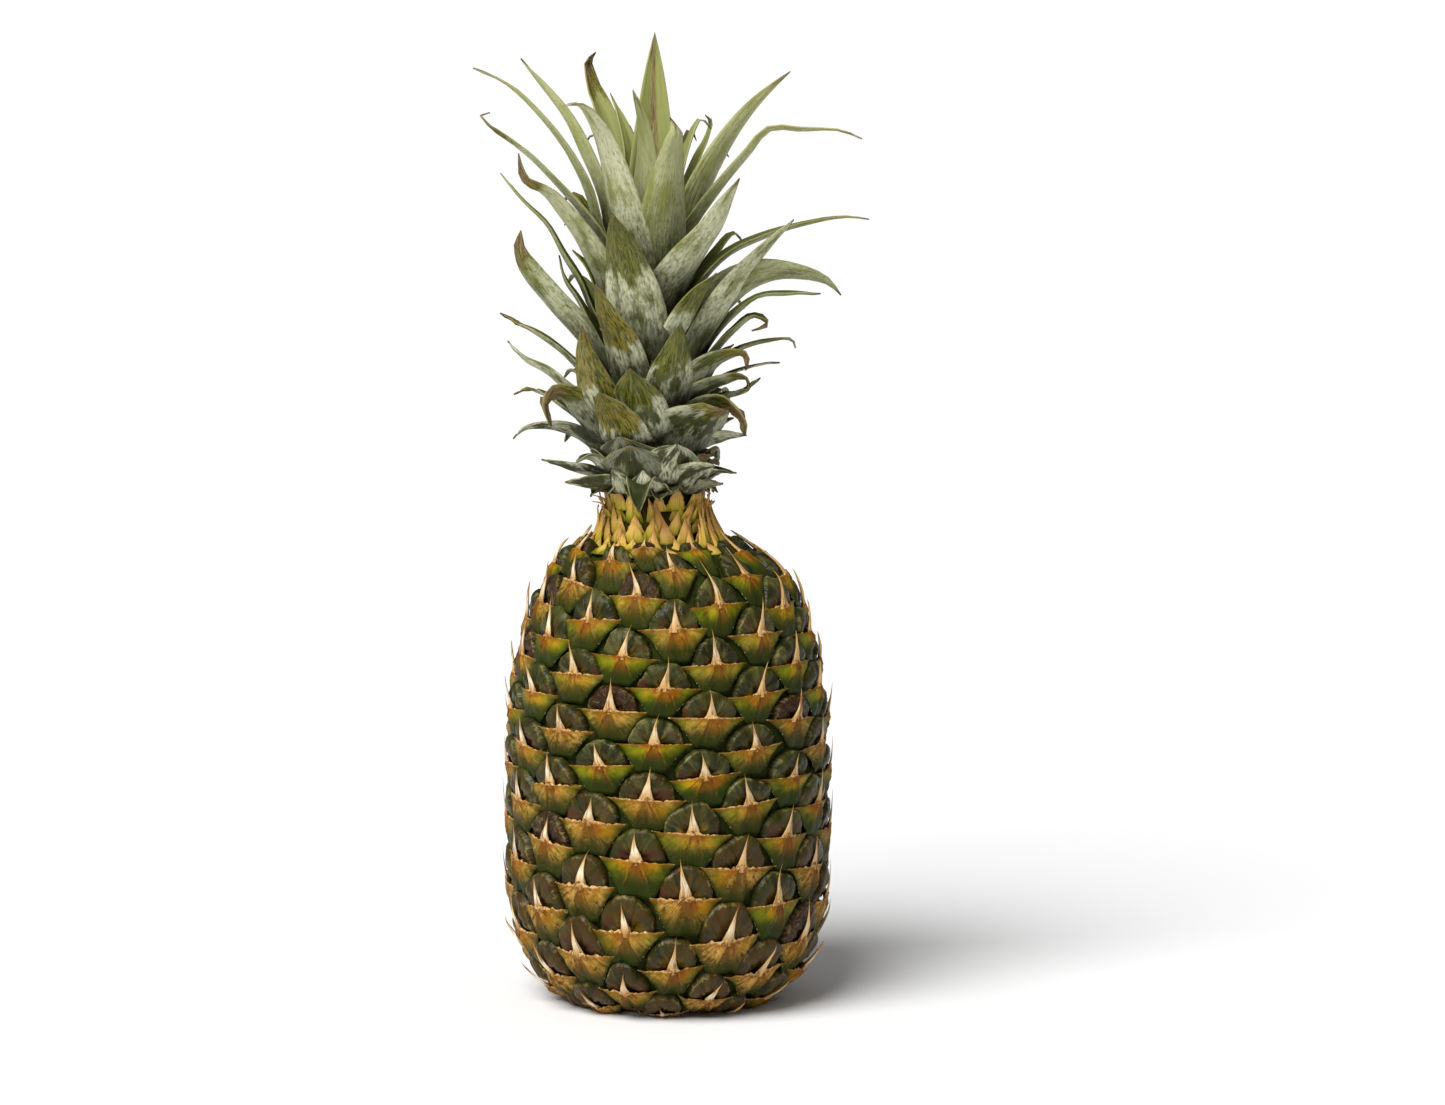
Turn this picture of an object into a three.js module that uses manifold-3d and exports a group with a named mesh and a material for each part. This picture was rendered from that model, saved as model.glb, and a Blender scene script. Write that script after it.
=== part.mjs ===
// A whole pineapple standing on its cut base: the fruit with its spiral of eyes and spined bracts and the cut
// stalk in its foot, the short collar of dry scales at its neck, and the leafy crown.
// Millimetres, +Z up, origin in the middle of the cut stalk's end. -Y is the front and +X the right.
import * as THREE from "three";
import { mergeVertices } from "three/addons/utils/BufferGeometryUtils.js";
import Module from "manifold-3d";

const wasm = await Module();
wasm.setup();

// ---- driving dimensions ----

const FOOT_RADIUS = 27; // edge of the flat spot that the fruit stands on
const PROFILE = [
  // radius and height of the fruit's skin, from the foot to the neck
  [FOOT_RADIUS, 0],
  [33.5, 1],
  [40.5, 5],
  [46.2, 11],
  [50.2, 17.5],
  [53, 24],
  [55.8, 34.5],
  [57, 47],
  [57.2, 62],
  [57.2, 80],
  [56.8, 98],
  [55.6, 114],
  [52.8, 129],
  [49.6, 141],
  [45.6, 151],
  [40.5, 159],
  [34, 165],
  [26.5, 169.6],
  [20, 172.5],
].map(([radius, height]) => new THREE.Vector2(radius, height));
const NECK_SHIFT = -4; // how far the neck stands to the left of the fruit's own axis
const NECK_SHIFT_FROM = 158; // height where that shift begins

const STALK_RADIUS = 12.5; // the cut stalk, which ends level with the foot inside a shallow groove
const GROOVE = { width: 6, depth: 2.5, sides: 20 };
const GAP = 0.3; // between neighbouring nodes

// The eyes follow one spiral: each is a fixed turn on from the one below it, so that every eighth and every
// eleventh eye touch. Eye 0 is in the upper front, and the numbers fall towards the foot.
const TURN = 227.555; // degrees from one eye to the next
const EYE_0_ANGLE = 3.2; // degrees to the right of the front
const LOWEST_EYE = -131;
const HIGHEST_EYE = 30;
const NEAR_RIGHT = 8; // steps to the neighbours up and right, up and left, and straight up
const NEAR_LEFT = 11;
const NEAR_UP = NEAR_RIGHT + NEAR_LEFT;
const FULL_CELL = 380; // mm2 of skin to an eye of full size

const COLLAR_BOTTOM = PROFILE.at(-1).y + GAP + 0.1;
const COLLAR_TOP = 187.5;
const COLLAR_RADIUS = 16.8;
const SCALE_ROWS = [
  // scales in a ring, height of their roots, length, width, lean outwards in degrees
  { count: 15, root: 173.4, length: 15, width: 8.6, lean: 9 },
  { count: 14, root: 178.5, length: 11.5, width: 8, lean: 6 },
  { count: 9, root: 182.2, length: 6, width: 7, lean: 18 },
];

const CROWN_BOTTOM = COLLAR_TOP + GAP;
const CROWN_CORE = [
  // radius and height of the crown's own stem
  [16, CROWN_BOTTOM],
  [17, CROWN_BOTTOM + 5],
  [16, 205],
  [13.5, 225],
  [9.5, 245],
  [5, 262],
  [0, 268],
];
const CROWN_AXIS_X = -5.5;
const ROOT_RISE = 0.38; // how far up the stem a leaf is rooted, for each mm that its tip stands higher
const LOWEST_ROOT = 189.5;
const ROOT_DEPTH = 5; // how far a blade's root reaches into the stem
const BLADE_THICKNESS = 1.7;
const BLADE_CUP = 0.17; // how far a blade's margins stand above its rib, as a share of its width

// One leaf each: bearing round the stem from the front in degrees, width, twist about its rib in degrees, and
// the rib's own points after its root, as reach from the stem's axis and height.
const FRONT_LEAVES = [
  // the inner leaves, from the back round to the front
  [178, 17, 0, [[6, 282], [10, 309], [16, 331], [22, 356]]],
  [-40, 18, 0, [[6, 283], [6, 296], [5, 314], [6, 323], [11, 336]]],
  [150, 9, 0, [[27, 301], [33, 309], [40, 316], [43, 322], [38, 325]]],
  [-150, 11, 0, [[23, 296], [30, 314], [37, 325], [47, 338], [49, 344], [42, 348]]],
  [-150, 10, 0, [[14, 300], [17, 313], [23, 323], [32, 333]]],
  [16, 24, 0, [[8, 260], [13, 278], [20, 297], [29, 315], [33, 322], [24, 327]]],
  [-42, 20, 0, [[15, 282], [19, 296], [24, 311], [31, 324], [39, 331], [47, 331]]],
  // the long leaves to the left
  [-115, 12, 15, [[18, 280], [22, 297], [28, 311], [35, 324], [44, 335], [54, 346]]],
  [-95, 10, 0, [[21, 286], [25, 300], [32, 313], [40, 324], [55, 338], [66, 343]]],
  [-80, 12, 0, [[22, 285], [29, 294], [37, 303], [46, 312], [54, 318], [61, 324], [63, 327], [59, 328]]],
  [-65, 18, 12, [[18, 260], [22, 269], [28, 280], [35, 290], [42, 298], [51, 304], [53, 314]]],
  [-95, 9, 0, [[23, 255], [27, 265], [33, 275], [39, 286], [47, 294], [56, 305]]],
  [-85, 11, 0, [[23, 241], [29, 250], [37, 259], [45, 269], [49, 277], [48, 285]]],
  [-100, 11, 0, [[23, 248], [28, 258], [33, 266], [35, 275]]],
  // the long leaves to the right
  [95, 13, -25, [[13, 281], [17, 295], [23, 308], [31, 321], [41, 333], [51, 342]]],
  [78, 12, -10, [[13, 281], [20, 292], [36, 312], [44, 321], [55, 321], [70, 321], [78, 318]]],
  [100, 12, 0, [[18, 264], [29, 275], [42, 281], [59, 286], [73, 288], [81, 287]]],
  [65, 15, 10, [[13, 228], [19, 241], [28, 256], [37, 269], [47, 280], [57, 290]]],
  [72, 17, -40, [[22, 254], [34, 265], [45, 269], [56, 269], [66, 267], [72, 262]]],
  // the broad leaves in front
  [38, 21, 0, [[13, 263], [23, 274], [36, 286], [47, 300], [52, 306]]],
  [-24, 25, 0, [[15, 242], [19, 257], [25, 273], [32, 287], [35, 293]]],
  [-38, 20, 0, [[15, 229], [22, 246], [29, 257], [33, 267]]],
  [-50, 18, -22, [[24, 219], [29, 230], [32, 242], [34, 252]]],
  [40, 18, 0, [[12, 232], [17, 247], [26, 261], [37, 271]]],
  [20, 20, 0, [[17, 222], [23, 233], [28, 245], [31, 253]]],
  [-14, 25, 0, [[19, 209], [24, 223], [30, 232], [32, 237]]],
  [-34, 25, 0, [[20, 206], [26, 217], [32, 225], [34, 228]]],
  // the short leaves to the left
  [-90, 11, 0, [[22, 228], [27, 233], [34, 240], [42, 246], [51, 251], [56, 254]]],
  [-78, 13, 10, [[21, 218], [31, 225], [40, 233], [49, 239], [54, 245]]],
  [-100, 8, 0, [[23, 211], [33, 218], [40, 223], [46, 225], [52, 223]]],
  [-65, 14, 10, [[21, 208], [27, 216], [34, 223], [41, 223], [38, 217]]],
  [-85, 13, 0, [[19, 202], [28, 209], [38, 212], [48, 211], [51, 208]]],
  [-85, 10, 0, [[19, 194], [30, 197], [38, 199]]],
  [-62, 13, 0, [[18, 191], [24, 193], [33, 194]]],
  // the short leaves to the right
  [100, 11, 0, [[23, 244], [31, 253], [40, 259], [51, 260], [63, 260]]],
  [85, 13, 0, [[17, 230], [23, 239], [30, 247], [38, 253], [42, 251], [36, 248]]],
  [100, 9, 0, [[21, 232], [28, 237], [35, 241], [44, 243], [52, 243], [53, 240]]],
  [70, 15, 10, [[11, 222], [17, 229], [26, 237], [36, 239], [36, 234]]],
  [110, 8, 0, [[26, 228], [36, 232], [46, 234], [50, 234]]],
  [80, 14, 10, [[8, 217], [18, 224], [27, 229], [35, 230], [35, 227]]],
  [95, 11, 0, [[14, 217], [25, 222], [34, 225], [40, 230]]],
  [70, 14, 10, [[11, 210], [19, 217], [27, 220], [32, 218], [36, 210]]],
  [45, 22, 0, [[4, 206], [13, 214], [25, 219], [38, 222]]],
  [82, 13, 10, [[10, 200], [19, 207], [30, 210], [36, 208]]],
  [75, 12, 0, [[14, 190], [23, 196], [32, 196]]],
  [105, 11, 0, [[13, 193], [19, 197], [25, 199]]],
  // the lowest leaves in front
  [-14, 25, 0, [[19, 199], [26, 207], [32, 211], [35, 207]]],
  [24, 24, 0, [[19, 201], [25, 210], [30, 213], [33, 211]]],
  [2, 22, 0, [[19, 191], [25, 197], [29, 198], [31, 193]]],
  [-12, 15, 0, [[18, 192], [22, 196], [25.5, 193], [25.5, 186]]],
  [42, 22, 0, [[19, 191], [25, 197], [31, 199]]],
  [-42, 22, 0, [[19, 193], [25, 199], [31, 202]]],
];

// The leaves behind follow the golden angle, their tips rising from the shortest leaf to the tallest.
const BACK_LEAVES = 44;
const BACK_FROM = 112; // bearing where the leaves behind begin, on either side
const GOLDEN_ANGLE = 137.508;
const LOWEST_LEAVES = 13;
const BACK_TIPS = { low: 196, high: 330 };
const BACK_REACH = { low: 30, middle: 52, high: 22, at: 0.55, sideways: 30 };

// ---- small helpers ----

const radians = THREE.MathUtils.degToRad;
const { lerp, smoothstep, clamp } = THREE.MathUtils;

function seeded(seed) {
  let state = seed;
  return () => {
    state = (state * 1664525 + 1013904223) % 4294967296;
    return state / 4294967296;
  };
}

function meshOf(points, triangles) {
  const geometry = new THREE.BufferGeometry();
  const positions = new Float32Array(points.flatMap((p) => [p.x, p.y, p.z]));
  geometry.setAttribute("position", new THREE.BufferAttribute(positions, 3));
  geometry.setIndex(triangles.flat());
  return geometry;
}

function solidOf(geometry) {
  const bare = geometry.clone();
  for (const name of ["normal", "uv"]) bare.deleteAttribute(name);
  const merged = mergeVertices(bare, 1e-4);
  return new wasm.Manifold(
    new wasm.Mesh({
      numProp: 3,
      vertProperties: new Float32Array(merged.attributes.position.array),
      triVerts: new Uint32Array(merged.index.array),
    }),
  );
}

function geometryOf(solid) {
  const made = solid.getMesh();
  const geometry = new THREE.BufferGeometry();
  geometry.setAttribute("position", new THREE.BufferAttribute(new Float32Array(made.vertProperties), 3));
  geometry.setIndex(new THREE.BufferAttribute(new Uint32Array(made.triVerts), 1));
  geometry.computeVertexNormals();
  return geometry;
}

// A turned body standing on +Z, from [radius, height] pairs that start and end on the axis.
function turned(outline, sides) {
  const geometry = new THREE.LatheGeometry(
    outline.map(([radius, height]) => new THREE.Vector2(radius, height)),
    sides,
  );
  return geometry.rotateX(Math.PI / 2);
}

function named(name, geometry, look) {
  const mesh = new THREE.Mesh(geometry, new THREE.MeshStandardMaterial(look));
  mesh.name = name;
  return mesh;
}

// ---- fruit ----

const skinCurve = new THREE.SplineCurve(PROFILE);
skinCurve.arcLengthDivisions = 600;
const SKIN_LENGTH = skinCurve.getLength();

// Eye 0's distance along the skin, and how the distance grows with the eye's number, its square and its cube.
const SPACING = [158.2, 1.1184, 0.0029934, 0.0000334];
const TOP_EASE = { eye: 24, end: SKIN_LENGTH + 1.5 }; // above this eye the spacing shrinks towards the neck
const FOOT_EASE = { eye: -95, end: -150 }; // and below this one it stays nearly even

// Distance along the skin, from the foot's edge, where an eye sits. Fractions of a number lie between eyes.
function alongSkin(number) {
  const law = (n) => SPACING.reduce((sum, factor, power) => sum + factor * n ** power, 0);
  const slope = (n) => law(n + 0.5) - law(n - 0.5);
  for (const { eye, end, past } of [
    { ...TOP_EASE, past: number > TOP_EASE.eye },
    { ...FOOT_EASE, past: number < FOOT_EASE.eye },
  ]) {
    if (!past) continue;
    const room = end - law(eye);
    return end - room * Math.exp((-slope(eye) * (number - eye)) / room);
  }
  return law(number);
}

// The point of the skin at an angle to the right of the front and a distance along, raised by height.
function skinPoint(angle, along, height) {
  const share = clamp(along / SKIN_LENGTH, 0, 1);
  const { x: radius, y: level } = skinCurve.getPointAt(share);
  const tangent = skinCurve.getTangentAt(share);
  const inFoot = Math.min(along, 0);
  const r = radius + inFoot + height * tangent.y;
  const z = Math.max(0, level - height * tangent.x);
  const shift = NECK_SHIFT * smoothstep(z, NECK_SHIFT_FROM, PROFILE.at(-1).y);
  return new THREE.Vector3(r * Math.sin(radians(angle)) + shift, -r * Math.cos(radians(angle)), z);
}

const CELL_RISE = 1.05; // mm between one eye and the next at full size
const CELL_RADIUS = 58;

// The places that make up an eye, in mm right and up from the middle of its bract's edge, and mm outwards.
const EYE_PLACES = {
  lipLeft: [-11.8, 0.4, 1.2],
  lipRight: [11.8, 0.4, 1.2],
  spineLeft: [-2, 0.2, 2.9],
  spineRight: [2, 0.2, 2.9],
  spineFront: [0, -2.6, 3.1],
  spineBack: [0.2, 1.6, 1.4],
  spineTip: [0.6, 11.5, 4.6],
  foot: [-1.6, -10.4, -0.6],
  domeLeft: [-9, 1.2, 0.9],
  domeRight: [9.2, 1.2, 0.9],
  domeUpLeft: [-6.6, 6, 1.3],
  domeUpRight: [7, 5.7, 1.3],
  domeTop: [-0.4, 8.2, 1.2],
  crest: [0, 4.2, 3.1],
};

// The corners round the front of a spine, and round the shelf between a spine and its dome.
const BRACT_RING = ["spineRight", "spineTip", "spineLeft", "lipLeft", "foot", "lipRight", "spineRight"];
const SHELF_RING = [
  ...["domeRight", "crest", "domeLeft", "lipLeft", "spineLeft", "spineTip", "spineRight", "lipRight"],
  "domeRight",
];

function eyeSize(number) {
  const n = clamp(number, LOWEST_EYE - 4, HIGHEST_EYE + NEAR_UP);
  const along = alongSkin(n);
  const rise = alongSkin(n + 0.5) - alongSkin(n - 0.5);
  const radius = skinCurve.getPointAt(clamp(along / SKIN_LENGTH, 0, 1)).x;
  return Math.min(1, Math.sqrt((2 * Math.PI * radius * rise) / FULL_CELL));
}

function placeOnEye(number, [right, up, out]) {
  const steps = up / CELL_RISE;
  const angle = EYE_0_ANGLE + TURN * number + (right / CELL_RADIUS) * (180 / Math.PI);
  const along = alongSkin(number + steps);
  const flat = smoothstep(along, -2, 10);
  return skinPoint(angle, along, out * eyeSize(number) * flat);
}

// One closed skin: every eye gives a bract, a spine and a dome, and shares corners with those above it.
function fruitGeometry() {
  const kinds = Object.keys(EYE_PLACES);
  const lines = HIGHEST_EYE + NEAR_UP - LOWEST_EYE + 1;
  const points = [];
  for (let k = 0; k < lines; k++)
    for (const kind of kinds) points.push(placeOnEye(LOWEST_EYE + k, EYE_PLACES[kind]));
  const at = (number, kind) => (number - LOWEST_EYE) * kinds.length + kinds.indexOf(kind);

  const triangles = [];
  const fan = (hub, ring) => {
    for (let k = 0; k + 1 < ring.length; k++) triangles.push([hub, ring[k], ring[k + 1]]);
  };
  for (let eye = LOWEST_EYE; eye <= HIGHEST_EYE; eye++) {
    const own = (kind) => at(eye, kind);
    const right = (kind) => at(eye + NEAR_RIGHT, kind);
    const left = (kind) => at(eye + NEAR_LEFT, kind);
    const above = (kind) => at(eye + NEAR_UP, kind);
    fan(own("spineFront"), BRACT_RING.map(own));
    fan(own("spineBack"), SHELF_RING.map(own));
    fan(own("crest"), ["domeRight", "domeUpRight", "domeTop", "domeUpLeft", "domeLeft"].map(own));
    fan(own("domeRight"), [own("lipRight"), right("foot"), own("domeUpRight")]);
    fan(own("domeUpRight"), [right("foot"), right("lipLeft"), own("domeTop")]);
    fan(own("domeTop"), [right("lipLeft"), above("foot"), left("lipRight"), own("domeUpLeft")]);
    fan(own("domeUpLeft"), [left("lipRight"), left("foot"), own("domeLeft")]);
    fan(own("domeLeft"), [left("foot"), own("lipLeft")]);
  }

  closeEnd(points, triangles, (p) => p.z < 40, 0);
  closeEnd(points, triangles, (p) => p.z > 40, PROFILE.at(-1).y);
  return withoutUnused(points, triangles);
}

// Closes an open end with a fan from a point on the axis to the loose edges on that side.
function closeEnd(points, triangles, onSide, level) {
  const key = (a, b) => `${a},${b}`;
  const edges = new Map();
  for (const [a, b, c] of triangles)
    for (const [from, to] of [[a, b], [b, c], [c, a]]) edges.set(key(from, to), [from, to]);
  const loose = [...edges.values()].filter(([a, b]) => !edges.has(key(b, a)) && onSide(points[a]));
  const middle = loose.reduce((sum, [a]) => sum + points[a].x, 0) / loose.length;
  const hub = points.push(new THREE.Vector3(level > 0 ? middle : 0, 0, level)) - 1;
  for (const [a, b] of loose) triangles.push([b, a, hub]);
}

function withoutUnused(points, triangles) {
  const used = [...new Set(triangles.flat())];
  const place = new Map(used.map((old, now) => [old, now]));
  return meshOf(
    used.map((old) => points[old]),
    triangles.map((corners) => corners.map((old) => place.get(old))),
  );
}

// The groove round the cut stalk, as the solid that is taken out of the foot.
function grooveSolid() {
  const { width, depth, sides } = GROOVE;
  const ring = (radius, top) => solidOf(turned([[0, -1], [radius, -1], [radius, top], [0, top]], sides));
  return ring(STALK_RADIUS + width, depth).subtract(ring(STALK_RADIUS, depth + 1));
}

function makeFruit() {
  const body = solidOf(fruitGeometry()).subtract(grooveSolid());
  return named("fruit", geometryOf(body), { color: 0x5c6326, roughness: 0.55, metalness: 0 });
}

// ---- collar ----

// A pointed scale: a flat-backed wedge, four corners at its root and one at its tip.
function scaleGeometry({ root, length, width, lean }, bearing) {
  const thick = 2.4;
  const slope = radians(lean);
  const inner = COLLAR_RADIUS - 1.6;
  const tipOut = inner + thick + length * Math.sin(slope);
  const tipUp = root + length * Math.cos(slope);
  const shoulder = 0.45;
  const corners = [];
  for (const [up, half] of [[0, width * 0.42], [shoulder, width * 0.5]]) {
    const out = lerp(inner, tipOut - thick, up);
    const level = lerp(root, tipUp, up);
    corners.push([-half, out, level], [half, out, level]);
    corners.push([half * 0.55, out + thick, level], [-half * 0.55, out + thick, level]);
  }
  corners.push([0, tipOut, tipUp]);
  const points = corners.map(([side, out, level]) =>
    new THREE.Vector3(side, -out, level).applyAxisAngle(new THREE.Vector3(0, 0, 1), radians(bearing)),
  );
  const triangles = [[0, 2, 1], [0, 3, 2]];
  for (let k = 0; k < 4; k++) {
    const next = (k + 1) % 4;
    triangles.push([k, next, next + 4], [k, next + 4, k + 4], [k + 4, next + 4, 8]);
  }
  return meshOf(points, triangles.map(([a, b, c]) => [a, c, b]));
}

function makeCollar() {
  const random = seeded(7);
  const outline = [
    [0, COLLAR_BOTTOM],
    [COLLAR_RADIUS + 0.8, COLLAR_BOTTOM],
    [COLLAR_RADIUS - 1, COLLAR_TOP],
    [0, COLLAR_TOP],
  ];
  const core = turned(outline, 20);
  const parts = [solidOf(core)];
  for (const row of SCALE_ROWS)
    for (let k = 0; k < row.count; k++) {
      const bearing = (360 * (k + (row.root % 1))) / row.count + lerp(-4, 4, random());
      const room = (COLLAR_TOP - row.root - 0.2) / Math.cos(radians(row.lean));
      const length = Math.min(row.length * lerp(0.8, 1.1, random()), room);
      parts.push(solidOf(scaleGeometry({ ...row, length }, bearing)));
    }
  const collar = wasm.Manifold.union(parts).translate([CROWN_AXIS_X * 0.8, 0, 0]);
  return named("collar", geometryOf(collar), { color: 0xa9953c, roughness: 0.8, metalness: 0 });
}

// ---- crown ----

function leafOf([bearing, width, twist, points]) {
  const tip = Math.max(...points.map(([, height]) => height));
  const root = Math.min(LOWEST_ROOT + (tip - LOWEST_ROOT) * ROOT_RISE, points[0][1] - 1);
  const whole = [[coreRadius(root) - ROOT_DEPTH, root], ...points];
  const rib = whole.map(([out, up]) => new THREE.Vector2(out, up));
  return { bearing, width, twist, rib };
}

// The leaves that stand behind, in the same form as the list above.
function backLeaves() {
  const random = seeded(23);
  const made = [];
  for (let k = 0; k < BACK_LEAVES; k++) {
    const share = k / (BACK_LEAVES - 1);
    const turn = ((k * GOLDEN_ANGLE) % 360) / 360;
    const bearing = BACK_FROM + turn * (360 - 2 * BACK_FROM);
    const tip = lerp(BACK_TIPS.low, BACK_TIPS.high, share ** 1.1) + lerp(-4, 4, random());
    const { low, middle, high, at, sideways } = BACK_REACH;
    const longest = share < at ? lerp(low, middle, share / at) : lerp(middle, high, (share - at) / (1 - at));
    const widest = sideways / Math.abs(Math.sin(radians(bearing)));
    const reach = Math.min(longest * lerp(0.8, 1.1, random()), widest);
    const width = lerp(13, 17, random());
    const start = lerp(LOWEST_ROOT, 268, share);
    const inner = coreRadius(start) + 2;
    const rise = (part) => lerp(start, tip, part);
    const out = (part) => lerp(inner, reach, part);
    const points = [[out(0.12), rise(0.22)], [out(0.4), rise(0.55)], [out(0.72), rise(0.85)], [reach, tip]];
    if (random() < 0.35) points.push([reach + 4, tip - 4]);
    made.push([bearing, width, lerp(-12, 12, random()), points]);
  }
  return made;
}

// The shortest leaves, a ring of them close round the foot of the crown.
function lowestLeaves() {
  const random = seeded(5);
  const made = [];
  for (let k = 0; k < LOWEST_LEAVES; k++) {
    const bearing = (360 * (k + lerp(-0.2, 0.2, random()))) / LOWEST_LEAVES;
    const up = lerp(0, 5, random());
    made.push([bearing, 16, 0, [[19, 194 + up], [22.5, 199 + up], [25, 201 + up]]]);
  }
  return made;
}

function coreRadius(level) {
  const above = CROWN_CORE.findIndex(([, height]) => height >= level);
  if (above < 1) return above < 0 ? 0 : CROWN_CORE[0][0];
  const [[r0, z0], [r1, z1]] = [CROWN_CORE[above - 1], CROWN_CORE[above]];
  return lerp(r0, r1, (level - z0) / (z1 - z0));
}

// Width of a blade at a share of its length: fullest a third of the way up, and drawn out to a point.
function bladeWidth(leaf, share) {
  return leaf.width * (0.86 + 0.14 * Math.sin(Math.PI * Math.min(1, share * 1.4))) * (1 - share ** 3);
}

// A thin cupped blade: each station has a left margin, a rib above, a right margin and a rib below.
function bladeGeometry({ bearing, width, twist, rib }) {
  const reached = [0];
  for (let k = 1; k < rib.length; k++) reached.push(reached[k - 1] + rib[k].distanceTo(rib[k - 1]));
  const length = reached.at(-1);
  const points = [];
  const last = rib.length - 1;
  for (let k = 0; k < last; k++) {
    const share = reached[k] / length;
    const ahead = rib[k + 1].clone().sub(rib[Math.max(0, k - 1)]).normalize();
    const inwards = new THREE.Vector2(-ahead.y, ahead.x);
    const half = bladeWidth({ width }, share) / 2;
    const thick = BLADE_THICKNESS * (1 - 0.45 * share);
    const roll = radians(twist) * smoothstep(share, 0, 0.5);
    const cup = 2 * half * BLADE_CUP;
    for (const [side, lift] of [[-half, cup], [0, thick / 2], [half, cup], [0, -thick / 2]]) {
      const across = side * Math.cos(roll) - lift * Math.sin(roll);
      const above = side * Math.sin(roll) + lift * Math.cos(roll);
      points.push(new THREE.Vector3(across, -(rib[k].x + inwards.x * above), rib[k].y + inwards.y * above));
    }
  }
  points.push(new THREE.Vector3(0, -rib[last].x, rib[last].y));
  const spin = new THREE.Vector3(0, 0, 1);
  for (const p of points) p.applyAxisAngle(spin, radians(bearing));

  const triangles = [[0, 1, 2], [0, 2, 3]];
  for (let s = 0; s < last; s++)
    for (let k = 0; k < 4; k++) {
      const [a, b] = [s * 4 + k, s * 4 + ((k + 1) % 4)];
      if (s + 1 < last) triangles.push([b, a, a + 4], [b, a + 4, b + 4]);
      else triangles.push([b, a, points.length - 1]);
    }
  return meshOf(points, triangles);
}

function makeCrown() {
  const core = turned([[0, CROWN_BOTTOM], ...CROWN_CORE], 10);
  const leaves = [...FRONT_LEAVES, ...backLeaves(), ...lowestLeaves()].map(leafOf);
  const blades = leaves.map((leaf) => solidOf(bladeGeometry(leaf)));
  const crown = wasm.Manifold.union([solidOf(core), ...blades]);
  const whole = crown.decompose().sort((a, b) => b.volume() - a.volume())[0];
  return named("crown", geometryOf(whole.translate([CROWN_AXIS_X, 0, 0])), {
    color: 0x6c7d55,
    roughness: 0.6,
    metalness: 0,
  });
}

const pineapple = new THREE.Group();
pineapple.add(makeFruit(), makeCollar(), makeCrown());

export default pineapple;
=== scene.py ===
"""Dresses a whole pineapple: the spiral of waxy eyes with bracts and spines, the dry collar and the crown.

Sizes are in millimetres and turned to metres where a corner is placed. +Z is up, the front looks along -Y.
"""

import logging
import math
from bisect import bisect_right
from collections.abc import Callable, Iterable, Iterator
from dataclasses import dataclass, field
from enum import Enum

import bmesh
import bpy
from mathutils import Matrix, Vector, noise


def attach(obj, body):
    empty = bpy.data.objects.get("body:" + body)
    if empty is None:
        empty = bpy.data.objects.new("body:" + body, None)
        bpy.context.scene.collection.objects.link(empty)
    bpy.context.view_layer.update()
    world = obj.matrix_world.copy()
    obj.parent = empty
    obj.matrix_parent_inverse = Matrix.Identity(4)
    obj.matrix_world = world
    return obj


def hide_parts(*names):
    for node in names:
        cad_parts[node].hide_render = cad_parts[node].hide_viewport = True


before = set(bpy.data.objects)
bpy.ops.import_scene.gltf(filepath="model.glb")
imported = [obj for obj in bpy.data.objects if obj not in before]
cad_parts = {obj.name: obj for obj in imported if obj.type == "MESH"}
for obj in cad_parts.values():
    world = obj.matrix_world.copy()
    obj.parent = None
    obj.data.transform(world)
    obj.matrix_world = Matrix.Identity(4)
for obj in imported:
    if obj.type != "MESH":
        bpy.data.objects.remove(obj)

log = logging.getLogger("pineapple")

MM = 0.001
BODY = "root"
MELT = 0.00002  # corners of one sheet closer than this are one corner

Point = tuple[float, float]
Values = tuple[float, float, float]
Placed = tuple[Vector, Values]


# ---- small helpers ----


def mix(low: float, high: float, share: float) -> float:
    """The value at a share of the way from low to high."""
    return low + (high - low) * share


def ease(value: float, low: float, high: float) -> float:
    """Rises smoothly from 0 at low to 1 at high."""
    share = min(1.0, max(0.0, (value - low) / (high - low)))
    return share * share * (3 - 2 * share)


def bump(value: float, width: float) -> float:
    """A rounded ridge, 1 high at 0 and nearly gone past twice its width."""
    return math.exp(-((value / width) ** 2))


def clamp(value: float) -> float:
    """The value, kept from 0 to 1."""
    return min(1.0, max(0.0, value))


class Dice:
    """A seeded row of numbers from 0 to 1, the same on every run."""

    def __init__(self, seed: int) -> None:
        """Starts the row from its seed."""
        self.state = seed

    def roll(self) -> float:
        """The next number of the row."""
        self.state = (self.state * 1664525 + 1013904223) % 4294967296
        return self.state / 4294967296

    def between(self, low: float, high: float) -> float:
        """The next number of the row, from low to high."""
        return mix(low, high, self.roll())


def paint(code: str) -> tuple[float, float, float, float]:
    """Turns an sRGB hex colour into the linear colour that a shader takes.

    Args:
        code: The colour as #rrggbb.

    Returns:
        Red, green, blue and full opacity.
    """
    parts = [int(code[k : k + 2], 16) / 255 for k in (1, 3, 5)]
    linear = [p / 12.92 if p <= 0.04045 else ((p + 0.055) / 1.055) ** 2.4 for p in parts]
    return (*linear, 1.0)


# ---- meshes ----


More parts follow.
